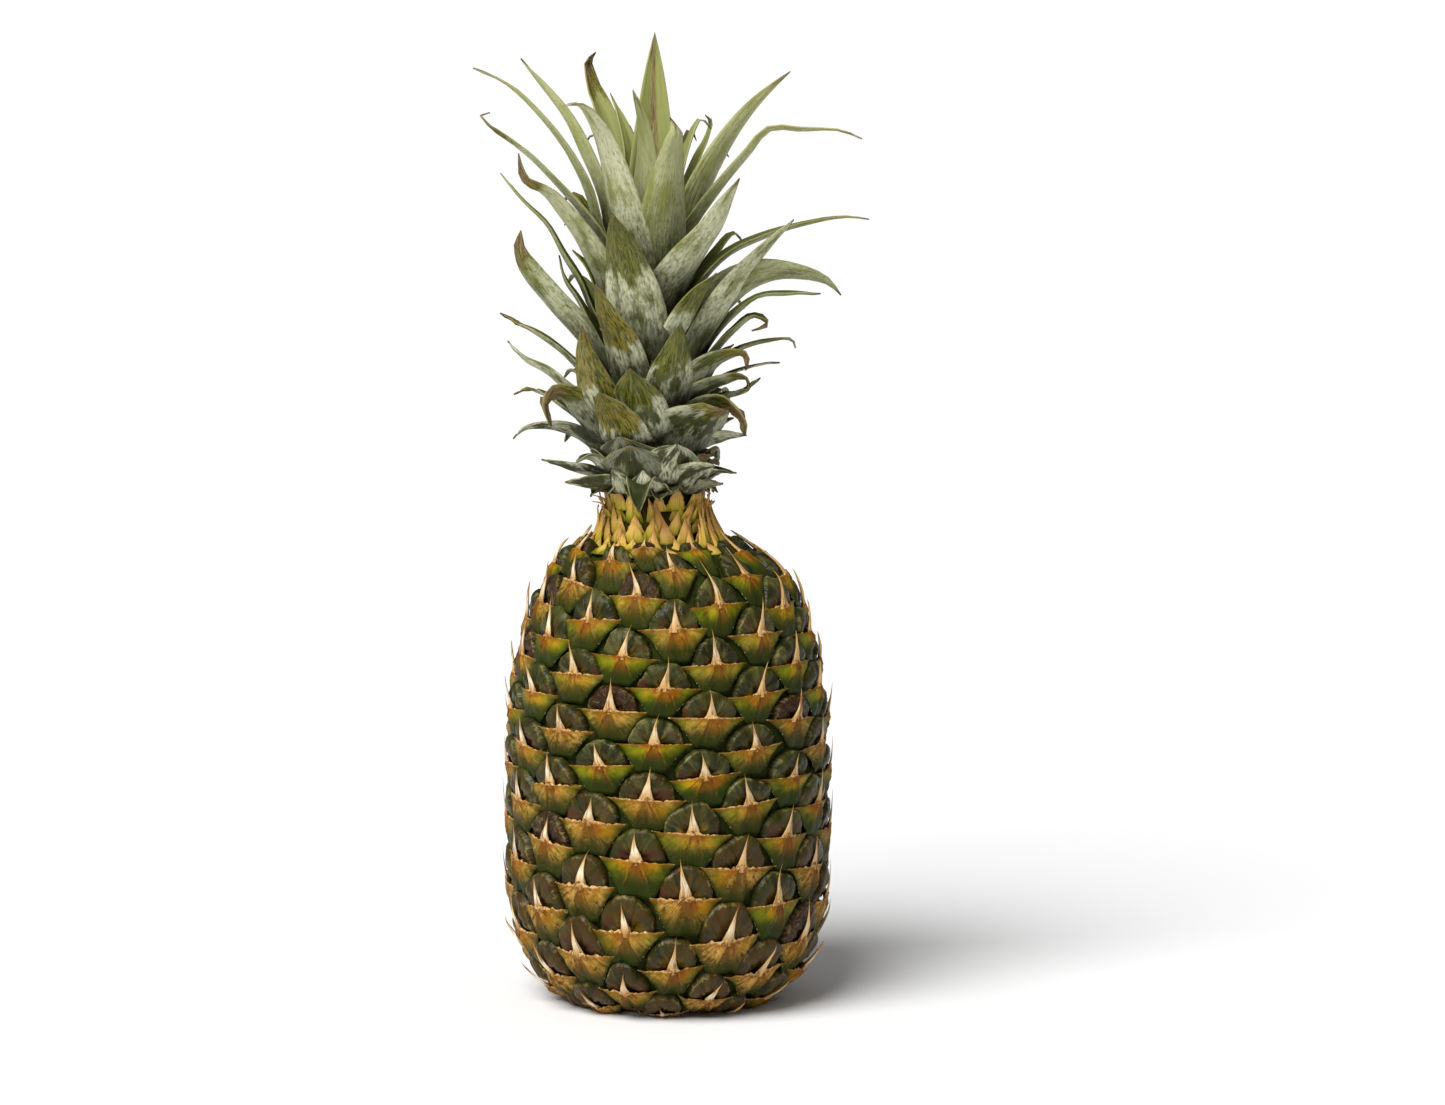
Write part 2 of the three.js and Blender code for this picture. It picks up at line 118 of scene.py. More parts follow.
class PieceMesh:
    """A mesh in the making, with the values that its finish reads at each corner."""

    def __init__(self) -> None:
        """Starts an empty mesh with its layers: flat for places on a sheet, look and tone for its colours."""
        self.bm = bmesh.new()
        layers = self.bm.verts.layers.float_vector
        self.flat, self.look, self.tone = (layers.new(name) for name in ("flat", "look", "tone"))

    def sheet(
        self,
        grid: tuple[int, int],
        place: Callable[[float, float], Placed],
        look: Values,
        tone: Values = (0.0, 0.0, 0.0),
        capped: bool = False,
    ) -> None:
        """Adds a grid and moves each of its corners to its place.

        Args:
            grid: Faces across and along.
            place: Gives the place in mm and the flat values for a share across, -1 to 1, and along, 0 to 1.
            look: What the finish reads for the whole sheet.
            tone: More of the same.
            capped: Whether its open edge is closed, out of sight, so that it is a body.
        """
        columns, rows = grid
        corners = bmesh.ops.create_grid(self.bm, x_segments=columns, y_segments=rows, size=1.0)["verts"]
        for corner in corners:
            spot, flat = place(corner.co.x, (corner.co.y + 1) / 2)
            corner.co = spot * MM
            corner[self.flat] = flat
            corner[self.look] = look
            corner[self.tone] = tone
        bmesh.ops.remove_doubles(self.bm, verts=corners, dist=MELT)
        if capped:
            kept = (corner for corner in corners if corner.is_valid)
            around = dict.fromkeys(edge for corner in kept for edge in corner.link_edges if edge.is_boundary)
            for edge in around:
                edge.smooth = False
            cap = bmesh.ops.holes_fill(self.bm, edges=list(around))["faces"]
            bmesh.ops.poke(self.bm, faces=cap)

    def turned(self, outline: list[Point], steps: int, across: float = 0.0) -> None:
        """Adds a body turned round an upright axis.

        Args:
            outline: Radius and height of its points, starting and ending on the axis.
            steps: Faces round it.
            across: How far to the right the axis stands.
        """
        corners = [self.bm.verts.new((radius * MM, 0, level * MM)) for radius, level in outline]
        edges = [self.bm.edges.new(pair) for pair in zip(corners, corners[1:])]
        bmesh.ops.spin(
            self.bm,
            geom=corners + edges,
            cent=(0, 0, 0),
            axis=(0, 0, 1),
            angle=2 * math.pi,
            steps=steps,
            use_merge=True,
        )
        bmesh.ops.remove_doubles(self.bm, verts=self.bm.verts, dist=MELT)
        bmesh.ops.recalc_face_normals(self.bm, faces=self.bm.faces)
        for corner in self.bm.verts:
            corner.co.x += across * MM

    def piece(self, name: str, finishes: list["Finish"], slot: str, wall: float = 0.0) -> bpy.types.Object:
        """Ends the mesh and makes it a piece of the pineapple.

        Args:
            name: The piece's name.
            finishes: Its finish, and where its other side has one of its own, that one too.
            slot: Not used.
            wall: Thickness in mm that a sheet is given, inwards from its face.

        Returns:
            The piece, riding on the one body.
        """
        mesh = bpy.data.meshes.new(name)
        self.bm.to_mesh(mesh)
        self.bm.free()
        mesh.shade_smooth()
        for finish in finishes:
            mesh.materials.append(finish.made())
        made = bpy.data.objects.new(name, mesh)
        bpy.context.scene.collection.objects.link(made)
        if wall:
            solid = made.modifiers.new("wall", "SOLIDIFY")
            solid.thickness = wall * MM
            solid.offset = -1
            solid.material_offset = len(finishes) - 1
        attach(made, BODY)
        log.info("%s: %d faces", name, len(mesh.polygons))
        return made


# ---- finishes ----


PLANT_IOR = 1.45  # of wax, cellulose and paper alike
SMOOTH = {"interpolation_type": "SMOOTHSTEP"}
COLOURS = {"data_type": "RGBA"}
TIMES = {"operation": "MULTIPLY"}
PLUS = {"operation": "ADD"}
MINUS = {"operation": "SUBTRACT"}
SIZE_OF = {"operation": "ABSOLUTE"}
SHRIVELLED = (0.91, 0.92)  # an eye whose chance is past these has shrivelled


class NodeSheet:
    """The nodes of one material."""

    def __init__(self, name: str) -> None:
        """Starts a material with nothing in it.

        Args:
            name: The material's name.
        """
        self.material = bpy.data.materials.new(name)
        self.material.use_nodes = True
        self.tree = self.material.node_tree
        self.tree.nodes.clear()

    def add(
        self,
        kind: str,
        *inputs: object,
        ramp: tuple[tuple[float, str], ...] = (),
        **settings: object,
    ) -> bpy.types.Node:
        """Adds a node with its settings and links.

        Args:
            kind: The node's type, without its prefix.
            inputs: A number, a hex colour, a socket or a node for each input in order, or a dict of them by
                name or index.
            ramp: Place and colour of each stop, for a colour ramp.
            settings: The node's own properties.

        Returns:
            The node. Where it is given as an input, its first output in use is linked.
        """
        node = self.tree.nodes.new(f"ShaderNode{kind}")
        for name, value in settings.items():
            setattr(node, name, value)
        named = [given if isinstance(given, dict) else {k: given} for k, given in enumerate(inputs)]
        for key, value in (pair for given in named for pair in given.items()):
            if isinstance(value, str):
                value = paint(value)
            if isinstance(value, bpy.types.Node):
                value = next(socket for socket in value.outputs if socket.enabled)
            if isinstance(value, bpy.types.NodeSocket):
                self.tree.links.new(value, node.inputs[key])
            else:
                node.inputs[key].default_value = value
        for k, (at, code) in enumerate(ramp):
            stops = node.color_ramp.elements
            stop = stops[k] if k < 2 else stops.new(at)
            stop.position, stop.color = at, paint(code)
        return node

    def carried(self, layer: str) -> list[bpy.types.NodeSocket]:
        """The three values that each corner of the mesh carries in a layer."""
        carried = self.add("Attribute", attribute_name=layer).outputs["Vector"]
        return list(self.add("SeparateXYZ", carried).outputs)

    def drawn_out(self, seed: object, *ways: tuple[object, float]) -> bpy.types.Node:
        """Coordinates for long strands: a distance and its stretch for each way, and a seed for the sheet."""
        return self.add("CombineXYZ", *(self.add("Math", way, by, **TIMES) for way, by in ways), seed)

    def close(
        self,
        body: object,
        coats: Iterable[tuple[object, object]],
        rough: object,
        reliefs: Iterable[tuple[object, float, object]] = (),
        gloss: float = 0.5,
    ) -> bpy.types.Material:
        """Lays the coats over the body, raises the reliefs, and ends the material with its shader.

        Args:
            body: The colour under all the others.
            coats: Share and colour of each coat, from the lowest to the topmost.
            rough: Its roughness.
            reliefs: Strength, depth in mm and pattern of each relief, from the broadest to the finest.
            gloss: Its specular level.

        Returns:
            The material.
        """
        for share, over in coats:
            body = self.add("Mix", share, {6: body, 7: over}, **COLOURS)
        surface = {"Base Color": body, "Roughness": rough, "IOR": PLANT_IOR, "Specular IOR Level": gloss}
        normals = {}
        for strength, depth, pattern in reliefs:
            relief = {"Strength": strength, "Distance": depth * MM, "Height": pattern}
            normals = {"Normal": self.add("Bump", relief | normals)}
        self.add("OutputMaterial", {"Surface": self.add("BsdfPrincipled", surface | normals)})
        return self.material


class Finish:
    """A finish that is made once and then shared."""

    name = "finish"
    known: dict[str, bpy.types.Material] = {}

    def made(self) -> bpy.types.Material:
        """The finish's material, made where it isn't yet.

        Returns:
            The material, the same each time it is asked for.
        """
        if self.name not in Finish.known:
            Finish.known[self.name] = self.mixed(NodeSheet(self.name))
        return Finish.known[self.name]

    def mixed(self, nodes: NodeSheet) -> bpy.types.Material:
        """Puts the finish's nodes together on an empty sheet, and gives the material that they make."""
        raise NotImplementedError


@dataclass(frozen=True)
class WaxyDome(Finish):
    """The rind of an eye's dome: hard waxy skin, dark green under a grey bloom, pleated towards its spine.

    To the eye it is smooth and dull with soft broad highlights, ochre where it comes out from under the spine
    and reddish where it was bruised. Low on the fruit it turns russet, and a few are shrivelled and brown.
    """

    name: str = "waxy_rind_dome"
    deep: str = "#191b06"
    green: str = "#3b3d0f"
    bloom: str = "#666334"
    ochre: str = "#8a680c"
    bruise: str = "#46210f"
    wither: str = "#48300c"
    dead: str = "#351c08"
    russet: str = "#472706"
    rim: str = "#857c44"
    # valley: painted shade, the colour the dome's edge darkens to in the crevice round it
    valley: str = "#1e2209"
    spine_foot: float = 1.5  # mm that the pleats' centre lies below the lip
    sheen_scale: float = 0.6
    blotch_mm: float = 7.0
    crinkle_mm: float = 3.2
    tooth_mm: float = 1.1
    pore_mm: float = 0.7

    def mixed(self, nodes: NodeSheet) -> bpy.types.Material:
        """Puts the dome's nodes together.

        Args:
            nodes: An empty sheet of nodes.

        Returns:
            The material that they make.
        """
        add = nodes.add
        across, up, reach = nodes.carried("flat")
        chance, height, dry = nodes.carried("look")
        seed = add("Math", chance, 91.0, **TIMES)

        own = add("CombineXYZ", across, up, seed)
        blotch = add("TexNoise", own, {"Scale": 1 / self.blotch_mm, "Detail": 3.0})
        crinkles = add("TexNoise", own, {"Scale": 1 / self.crinkle_mm, "Detail": 3.0, "Distortion": 1.4})
        teeth = add("TexNoise", own, {"Scale": 1 / self.tooth_mm})
        pores = add("TexNoise", own, {"Scale": 1 / self.pore_mm, "Detail": 2.0})

        # Pleats run out from under the spine, so they follow the angle about it.
        above = add("Math", up, self.spine_foot, **PLUS)
        angle = add("Math", across, above, operation="ARCTAN2")
        away = add("VectorMath", add("CombineXYZ", across, above), operation="LENGTH").outputs["Value"]
        fan = nodes.drawn_out(seed, (angle, 3.5), (away, 0.13))
        pleats = add("TexNoise", fan, {"Scale": 1.0, "Detail": 4.0, "Roughness": 0.6})
        elsewhere = add("VectorMath", fan, (31, 17, 5))
        sheen = add("TexNoise", elsewhere, {"Scale": self.sheen_scale, "Detail": 4.0, "Roughness": 0.6})

        mottled = add("MapRange", blotch, 0.35, 0.65)
        waxed = add("MapRange", sheen, 0.44, 0.7, 0, 0.65, **SMOOTH)
        waxed = add("Math", waxed, add("MapRange", height, 0, 0.45, 0.45), **TIMES)
        # Painted shade: the deep colour laid along the pleats where their relief is lowest, in the grooves.
        pleat_groove_shade = add("MapRange", pleats, 0.47, 0.34, 0, 0.5, **SMOOTH)
        # Low on the fruit the skin turns russet in patches, and the ochre reaches further up the dome.
        turned = add("MapRange", height, 0.45, 0.05, 0, 0.65)
        turned = add("Math", turned, add("MapRange", blotch, 0.42, 0.58), **TIMES)
        near = add("MapRange", away, add("MapRange", height, 0.05, 0.45, 10.5, 7.5), 2.5, 0, 0.85, **SMOOTH)
        near = add("Math", near, add("MapRange", pleats, 0.4, 0.58), **TIMES)
        low = add("MapRange", up, 7.0, 2.0, **SMOOTH)
        bruised = add("Math", low, add("MapRange", blotch, 0.5, 0.62, **SMOOTH), **TIMES)
        withered = add("MapRange", dry, 0.45, 1.0, 0, 0.8)
        withered = add("Math", withered, add("MapRange", pleats, 0.35, 0.6), **TIMES)
        # A few eyes have shrivelled altogether, to a dark brown with pale worn wrinkles.
        shrivelled = add("MapRange", chance, *SHRIVELLED)
        browned = add("Math", shrivelled, 0.9, **TIMES)
        crackled = add("Math", shrivelled, add("MapRange", crinkles, 0.56, 0.68, 0, 0.4), **TIMES)
        # A thin scalloped line just inside the edge, pale only in places; past it, painted shade darkens the
        # edge to the valley colour where the crevice lies.
        edge = add("Math", reach, add("MapRange", teeth, 0, 1, -0.08, 0.08), **PLUS)
        under = add("MapRange", edge, 0.93, 1.0, **SMOOTH)
        rim = add("Math", add("Math", edge, 0.89, **MINUS), **SIZE_OF)
        rim = add("MapRange", rim, 0.04, 0.01, **SMOOTH)
        rim = add("Math", rim, add("MapRange", sheen, 0.48, 0.62, 0, 0.75), **TIMES)
        coats = (
            (mottled, self.green),
            (waxed, self.bloom),
            (pleat_groove_shade, self.deep),
            (turned, self.russet),
            (near, self.ochre),
            (bruised, self.bruise),
            (withered, self.wither),
            (browned, self.dead),
            (crackled, self.rim),
            (under, self.valley),
            (rim, self.rim),
        )
        reliefs = ((0.85, 1.2, pleats), (0.6, 1.2, blotch), (shrivelled, 1.5, crinkles), (0.25, 0.2, pores))
        rough = add("MapRange", blotch, 0.3, 0.7, 0.24, 0.46)
        return nodes.close(self.deep, coats, rough, reliefs, gloss=0.22)


@dataclass(frozen=True)
class LeatheryBract(Finish):
    """The bract below a spine: a leathery scale with ribs that fan out from the spine's foot.

    To the eye it is satin, green at its ends and ochre in the middle, with reddish and yellow ribs and a thin
    dry edge. Low on the fruit it has dried to a golden brown.
    """

    name: str = "leathery_bract"
    deep: str = "#2c3604"
    green: str = "#777d0c"
    ochre: str = "#b4840f"
    rust: str = "#80430b"
    red_rib: str = "#5c2a10"
    yellow_rib: str = "#a0981a"
    dried: str = "#cb9c50"
    dead: str = "#5a370c"
    edge: str = "#e2bd80"
    # crest: the rib's own yellow, partly a painted highlight on the rib's ridge
    crest: str = "#a98a2a"
    umber: str = "#644016"
    tooth: str = "#b9b77a"
    # shade: the dark green of the bract's foot, partly its own colour and partly painted shade, and painted
    # shade on its tucked margins
    shade: str = "#273107"
    fibre_mm: float = 2.2
    speckle_mm: float = 0.8
    blotch_mm: float = 6.0
    patch_mm: float = 9.0
    rib_foot: float = 1.5  # mm that the two main ribs start from the middle
    rib_slope: float = 0.38  # mm that they spread for each mm down

    def mixed(self, nodes: NodeSheet) -> bpy.types.Material:
        """Puts the bract's nodes together.

        Args:
            nodes: An empty sheet of nodes.

        Returns:
            The material that they make.
        """
        add = nodes.add
        across, up, inside = nodes.carried("flat")
        chance, _, dried = nodes.carried("look")
        dry = add("Math", dried, add("MapRange", chance, *SHRIVELLED, 0, 0.75), operation="MAXIMUM")
        seed = add("Math", chance, 77.0, **TIMES)
        beside = add("Math", across, **SIZE_OF)

        own = add("CombineXYZ", across, up, seed)
        blotch = add("TexNoise", own, {"Scale": 1 / self.blotch_mm, "Detail": 3.0})
        speckle = add("TexNoise", own, {"Scale": 1 / self.speckle_mm, "Detail": 2.0})
        strands = {"Scale": 1 / self.fibre_mm, "Detail": 4.0, "Roughness": 0.7, "Distortion": 0.8}
        fibre = add("TexNoise", own, strands)
        elsewhere = add("TexNoise", add("VectorMath", own, (31, 17, 5)), {"Scale": 1 / self.patch_mm})

        # Ribs run out from the spine's foot, just above the lip, so they follow the angle about it.
        below = add("Math", 1.6, up, **MINUS)
        angle = add("Math", across, below, operation="ARCTAN2")
        away = add("VectorMath", add("CombineXYZ", across, below), operation="LENGTH").outputs["Value"]
        fan = nodes.drawn_out(seed, (angle, 7.0), (away, 0.1))
        ribs = add("TexNoise", fan, {"Scale": 1.0, "Detail": 3.0, "Roughness": 0.65})

        # Painted light: the green is brightest near the lip and the middle, and fades to the dark base colour
        # lower down and at the ends.
        high = add("MapRange", up, -6.5, -1.0, 0.15, **SMOOTH)
        high = add("Math", high, add("MapRange", beside, 14.0, 7.0, 0.25), **TIMES)
        painted_light_green = add("Math", add("MapRange", blotch, 0.35, 0.6, 0.1), high, **TIMES)
        # Ochre runs along under the lip and spreads from the spine's foot, further where the bract is drier.
        worn = add("Math", away, add("MapRange", blotch, 0.3, 0.7, -4.0, 4.0), **PLUS)
        round_foot = add("MapRange", worn, add("MapRange", dry, 0, 1, 3.5, 13.0), 1.0, **SMOOTH)
        depth = add("Math", up, add("MapRange", blotch, 0.3, 0.7, -2.0, 2.0), **PLUS)
        band = add("MapRange", depth, -4.2, -0.6, **SMOOTH)
        band = add("Math", band, add("MapRange", beside, 11.0, 4.0, **SMOOTH), **TIMES)
        band = add("Math", band, add("MapRange", elsewhere, 0.38, 0.6, 0.1, 0.9, **SMOOTH), **TIMES)
        golden = add("Math", round_foot, band, operation="MAXIMUM")
        rusty = add("MapRange", worn, 7.5, 1.5, 0, 0.85, **SMOOTH)

        red = add("MapRange", ribs, 0.58, 0.68, 0, 0.65, **SMOOTH)
        red = add("Math", red, add("MapRange", away, 13.0, 5.0), **TIMES)
        yellow = add("MapRange", ribs, 0.4, 0.32, 0, 0.3, **SMOOTH)

        crumpled = add("Math", ribs, fibre, **PLUS)
        papery = add("Mix", add("MapRange", crumpled, 0.86, 1.14), {6: self.dead, 7: self.dried}, **COLOURS)
        browned = add("MapRange", dry, 0.3, 0.95, 0, 0.9)
        browned = add("Math", browned, add("MapRange", blotch, 0.35, 0.52), **TIMES)
        browned = add("Math", browned, add("MapRange", beside, 13.0, 7.0, 0.3, **SMOOTH), **TIMES)

        # The two main ribs, each a thin yellow crest with a red-brown fold inside it, and umber between them.
        # The crest is partly the rib's own yellow and partly a painted highlight on its ridge; the fold is
        # partly its own red-brown and partly painted shade beside the ridge.
        spread = add("Math", up, -self.rib_slope, self.rib_foot, operation="MULTIPLY_ADD")
        from_rib = add("Math", beside, spread, **MINUS)
        from_rib = add("Math", from_rib, add("MapRange", blotch, 0, 1, -2.0, 2.0), **PLUS)
        between = add("MapRange", from_rib, 1.0, -2.0, 0, 0.85, **SMOOTH)
        between = add("Math", between, add("MapRange", elsewhere, 0.62, 0.42, **SMOOTH), **TIMES)
        between = add("Math", between, add("MapRange", crumpled, 0.8, 1.1, 0.3), **TIMES)
        between = add("Math", between, add("MapRange", up, -9.0, -5.0), **TIMES)
        fade = add("MapRange", up, -11.0, -6.0, **SMOOTH)
        fade = add("Math", fade, add("MapRange", fibre, 0.4, 0.6, 0.1), **TIMES)
        ribs_with_painted_light_and_shade = []
        for middle, width, strength, colour in ((-0.7, 0.8, 0.85, self.red_rib), (0.0, 0.4, 0.5, self.crest)):
            off = add("Math", add("Math", from_rib, middle, **MINUS), **SIZE_OF)
            line = add("MapRange", off, width, 0.05, 0, strength, **SMOOTH)
            ribs_with_painted_light_and_shade.append((add("Math", line, fade, **TIMES), colour))

        # Darker towards the foot, partly the bract's own darker green and partly painted shade, and painted
        # shade along the margins that tuck under the domes.
        foot = add("MapRange", up, -2.0, -7.5, 0, 0.85, **SMOOTH)
        tucked = add("MapRange", inside, 0.36, 0.02, 0, 0.9, **SMOOTH)
        tucked = add("Math", tucked, add("MapRange", up, 0.2, -1.5, **SMOOTH), **TIMES)

        # The lip is dry and pale in places, over a rusty line, and the margins carry a few pale teeth.
        ragged = add("Math", up, add("MapRange", speckle, 0, 1, -0.5, 0.5), **PLUS)
        ragged = add("Math", dry, 0.4, ragged, operation="MULTIPLY_ADD")
        line = add("MapRange", ragged, -1.0, -0.3, 0, 0.4, **SMOOTH)
        lip = add("MapRange", ragged, 0.1, 0.5, **SMOOTH)
        lip = add("Math", lip, add("MapRange", fibre, 0.42, 0.58, 0, 0.95), **TIMES)
        lip = add("Math", lip, add("MapRange", beside, 12.0, 7.0, 0.2), **TIMES)
        toothed = add("MapRange", inside, 0.1, 0.03)
        toothed = add("Math", toothed, add("MapRange", speckle, 0.56, 0.64), **TIMES)
        toothed = add("Math", toothed, add("MapRange", up, -8.5, -7.0, 0, 0.8), **TIMES)
        coats = (
            (painted_light_green, self.green),
            (golden, self.ochre),
            (rusty, self.rust),
            (red, self.red_rib),
            (yellow, self.yellow_rib),
            (browned, papery),
            (between, self.umber),
            *ribs_with_painted_light_and_shade,
            (foot, self.shade),
            (tucked, self.shade),
            (line, self.rust),
            (lip, self.edge),
            (toothed, self.tooth),
        )
        rumple = add("MapRange", browned, 0, 1, 0.15, 0.9)
        reliefs = ((0.7, 0.7, ribs), (rumple, 1.2, fibre), (0.3, 0.2, speckle))
        return nodes.close(self.deep, coats, add("MapRange", ribs, 0.3, 0.7, 0.36, 0.58), reliefs, gloss=0.1)


@dataclass(frozen=True)
class DrySpine(Finish):
    """A spine that has dried to straw.

    To the eye it is long matt fibres, cream in the middle and brown at its foot and tip.
    """

    name: str = "dry_straw_spine"
    cream: str = "#fbefcf"
    straw: str = "#d0a566"
    foot: str = "#96602a"
    tip: str = "#83502a"
    groove: str = "#7a4f22"
    fibre_mm: float = 0.5

    def mixed(self, nodes: NodeSheet) -> bpy.types.Material:
        """Puts the spine's nodes together.

        Args:
            nodes: An empty sheet of nodes.

        Returns:
            The material that they make.
        """
        add = nodes.add
        across, up, share = nodes.carried("flat")
        chance, _, round_eye = nodes.carried("look")
        strands = nodes.drawn_out(add("Math", chance, 53.0, **TIMES), (across, 1 / self.fibre_mm), (up, 0.12))
        fibres = add("TexNoise", strands, {"Scale": 1.0, "Detail": 3.0, "Roughness": 0.6})
        patch = add("TexNoise", strands, {"Scale": 0.35, "Detail": 1.0})
        along = add("Math", share, add("MapRange", patch, 0, 1, -0.14, 0.14), **PLUS)
        stops = (
            (0.03, self.foot),
            (0.16, self.straw),
            (0.4, self.cream),
            (0.68, self.straw),
            (0.95, self.tip),
        )
        tanned = add("MapRange", round_eye, 0, 1, 0.9, 0.1)
        grooved = add("MapRange", fibres, 0.48, 0.64, 0, 0.8, **SMOOTH)
        coats = ((tanned, self.straw), (grooved, self.groove))
        return nodes.close(add("ValToRGB", along, ramp=stops), coats, 0.62, ((0.8, 0.4, fibres),), gloss=0.25)


@dataclass(frozen=True)
class InnerRind(Finish):
    """The rind between the eyes and in the foot.

    To the eye it is a matt dark green in the valleys, and dry brown fibres underneath.
    """

    name: str = "shaded_inner_rind"
    valley: str = "#2c320c"
    dry: str = "#7a5a34"
    pale: str = "#a98a58"
    fibre_mm: float = 1.2
    foot_from: float = 4.0
    foot_to: float = 1.5

    def mixed(self, nodes: NodeSheet) -> bpy.types.Material:
        """Puts the inner rind's nodes together.

        Args:
            nodes: An empty sheet of nodes.

        Returns:
            The material that they make.
        """
        add = nodes.add
        place = add("TexCoord").outputs["Object"]
        level = add("SeparateXYZ", place).outputs["Z"]
        fibres = add("TexNoise", place, {"Scale": 1 / (self.fibre_mm * MM), "Detail": 4.0})
        under = add("MapRange", level, self.foot_from * MM, self.foot_to * MM, **SMOOTH)
        brown = add("Mix", add("MapRange", fibres, 0.35, 0.65), {6: self.dry, 7: self.pale}, **COLOURS)
        return nodes.close(self.valley, ((under, brown),), 0.8, ((0.6, 0.5, fibres),), gloss=0.15)


@dataclass(frozen=True)
class CutStalk(Finish):
    """The sawn end of the stalk.

    To the eye it is pale fibres seen end-on, matt, drier and browner towards the bark.
    """

    name: str = "sawn_stalk_end"
    pith: str = "#cdb27c"
    bark: str = "#6f5433"
    pore: str = "#84683c"
    pore_mm: float = 0.9
    radius: float = 12.5

    def mixed(self, nodes: NodeSheet) -> bpy.types.Material:
        """Puts the stalk's nodes together.

        Args:
            nodes: An empty sheet of nodes.

        Returns:
            The material that they make.
        """
        add = nodes.add
        place = add("TexCoord").outputs["Object"]
        level = add("VectorMath", place, (1, 1, 0), **TIMES)
        away = add("VectorMath", level, operation="LENGTH").outputs["Value"]
        cells = add("TexVoronoi", place, {"Scale": 1 / (self.pore_mm * MM)})
        outer = add("MapRange", away, self.radius * 0.72 * MM, self.radius * MM, **SMOOTH)
        dots = add("MapRange", cells, 0.35, 0.1, 0, 0.7, **SMOOTH)
        coats = ((outer, self.bark), (dots, self.pore))
        return nodes.close(self.pith, coats, 0.85, ((0.5, 0.3, cells),))


@dataclass(frozen=True)
class DryScale(Finish):
    """A papery scale of the collar.

    To the eye it is thin and matt with long veins, yellow-green at its root, straw above, brown at its tip.
    """

    name: str = "papery_dry_scale"
    root: str = "#6c7010"
    olive: str = "#b4a42c"
    straw: str = "#d6b050"
    tan: str = "#d2a45c"
    brown: str = "#b07f42"
    vein: str = "#6e4c14"
    fibre_mm: float = 0.6

    def mixed(self, nodes: NodeSheet) -> bpy.types.Material:
        """Puts the scale's nodes together.

        Args:
            nodes: An empty sheet of nodes.

        Returns:
            The material that they make.
        """
        add = nodes.add
        across, up, share = nodes.carried("flat")
        chance, _, dry = nodes.carried("look")
        strands = nodes.drawn_out(add("Math", chance, 41.0, **TIMES), (across, 1 / self.fibre_mm), (up, 0.1))
        veins = add("TexNoise", strands, {"Scale": 1.0, "Detail": 3.0, "Roughness": 0.6})
        patch = add("TexNoise", strands, {"Scale": 0.3, "Detail": 2.0})
        along = add("Math", share, add("MapRange", patch, 0, 1, -0.3, 0.3), **PLUS)
        along = add("Math", along, add("MapRange", dry, 0, 1, -0.15, 0.3), **PLUS)
        stops = ((0.02, self.root), (0.2, self.olive), (0.45, self.straw), (0.7, self.tan), (1.0, self.brown))
        veined = add("MapRange", veins, 0.54, 0.7, 0, 0.7, **SMOOTH)
        coats = ((veined, self.vein),)
        return nodes.close(add("ValToRGB", along, ramp=stops), coats, 0.7, ((0.7, 0.5, veins),), gloss=0.25)


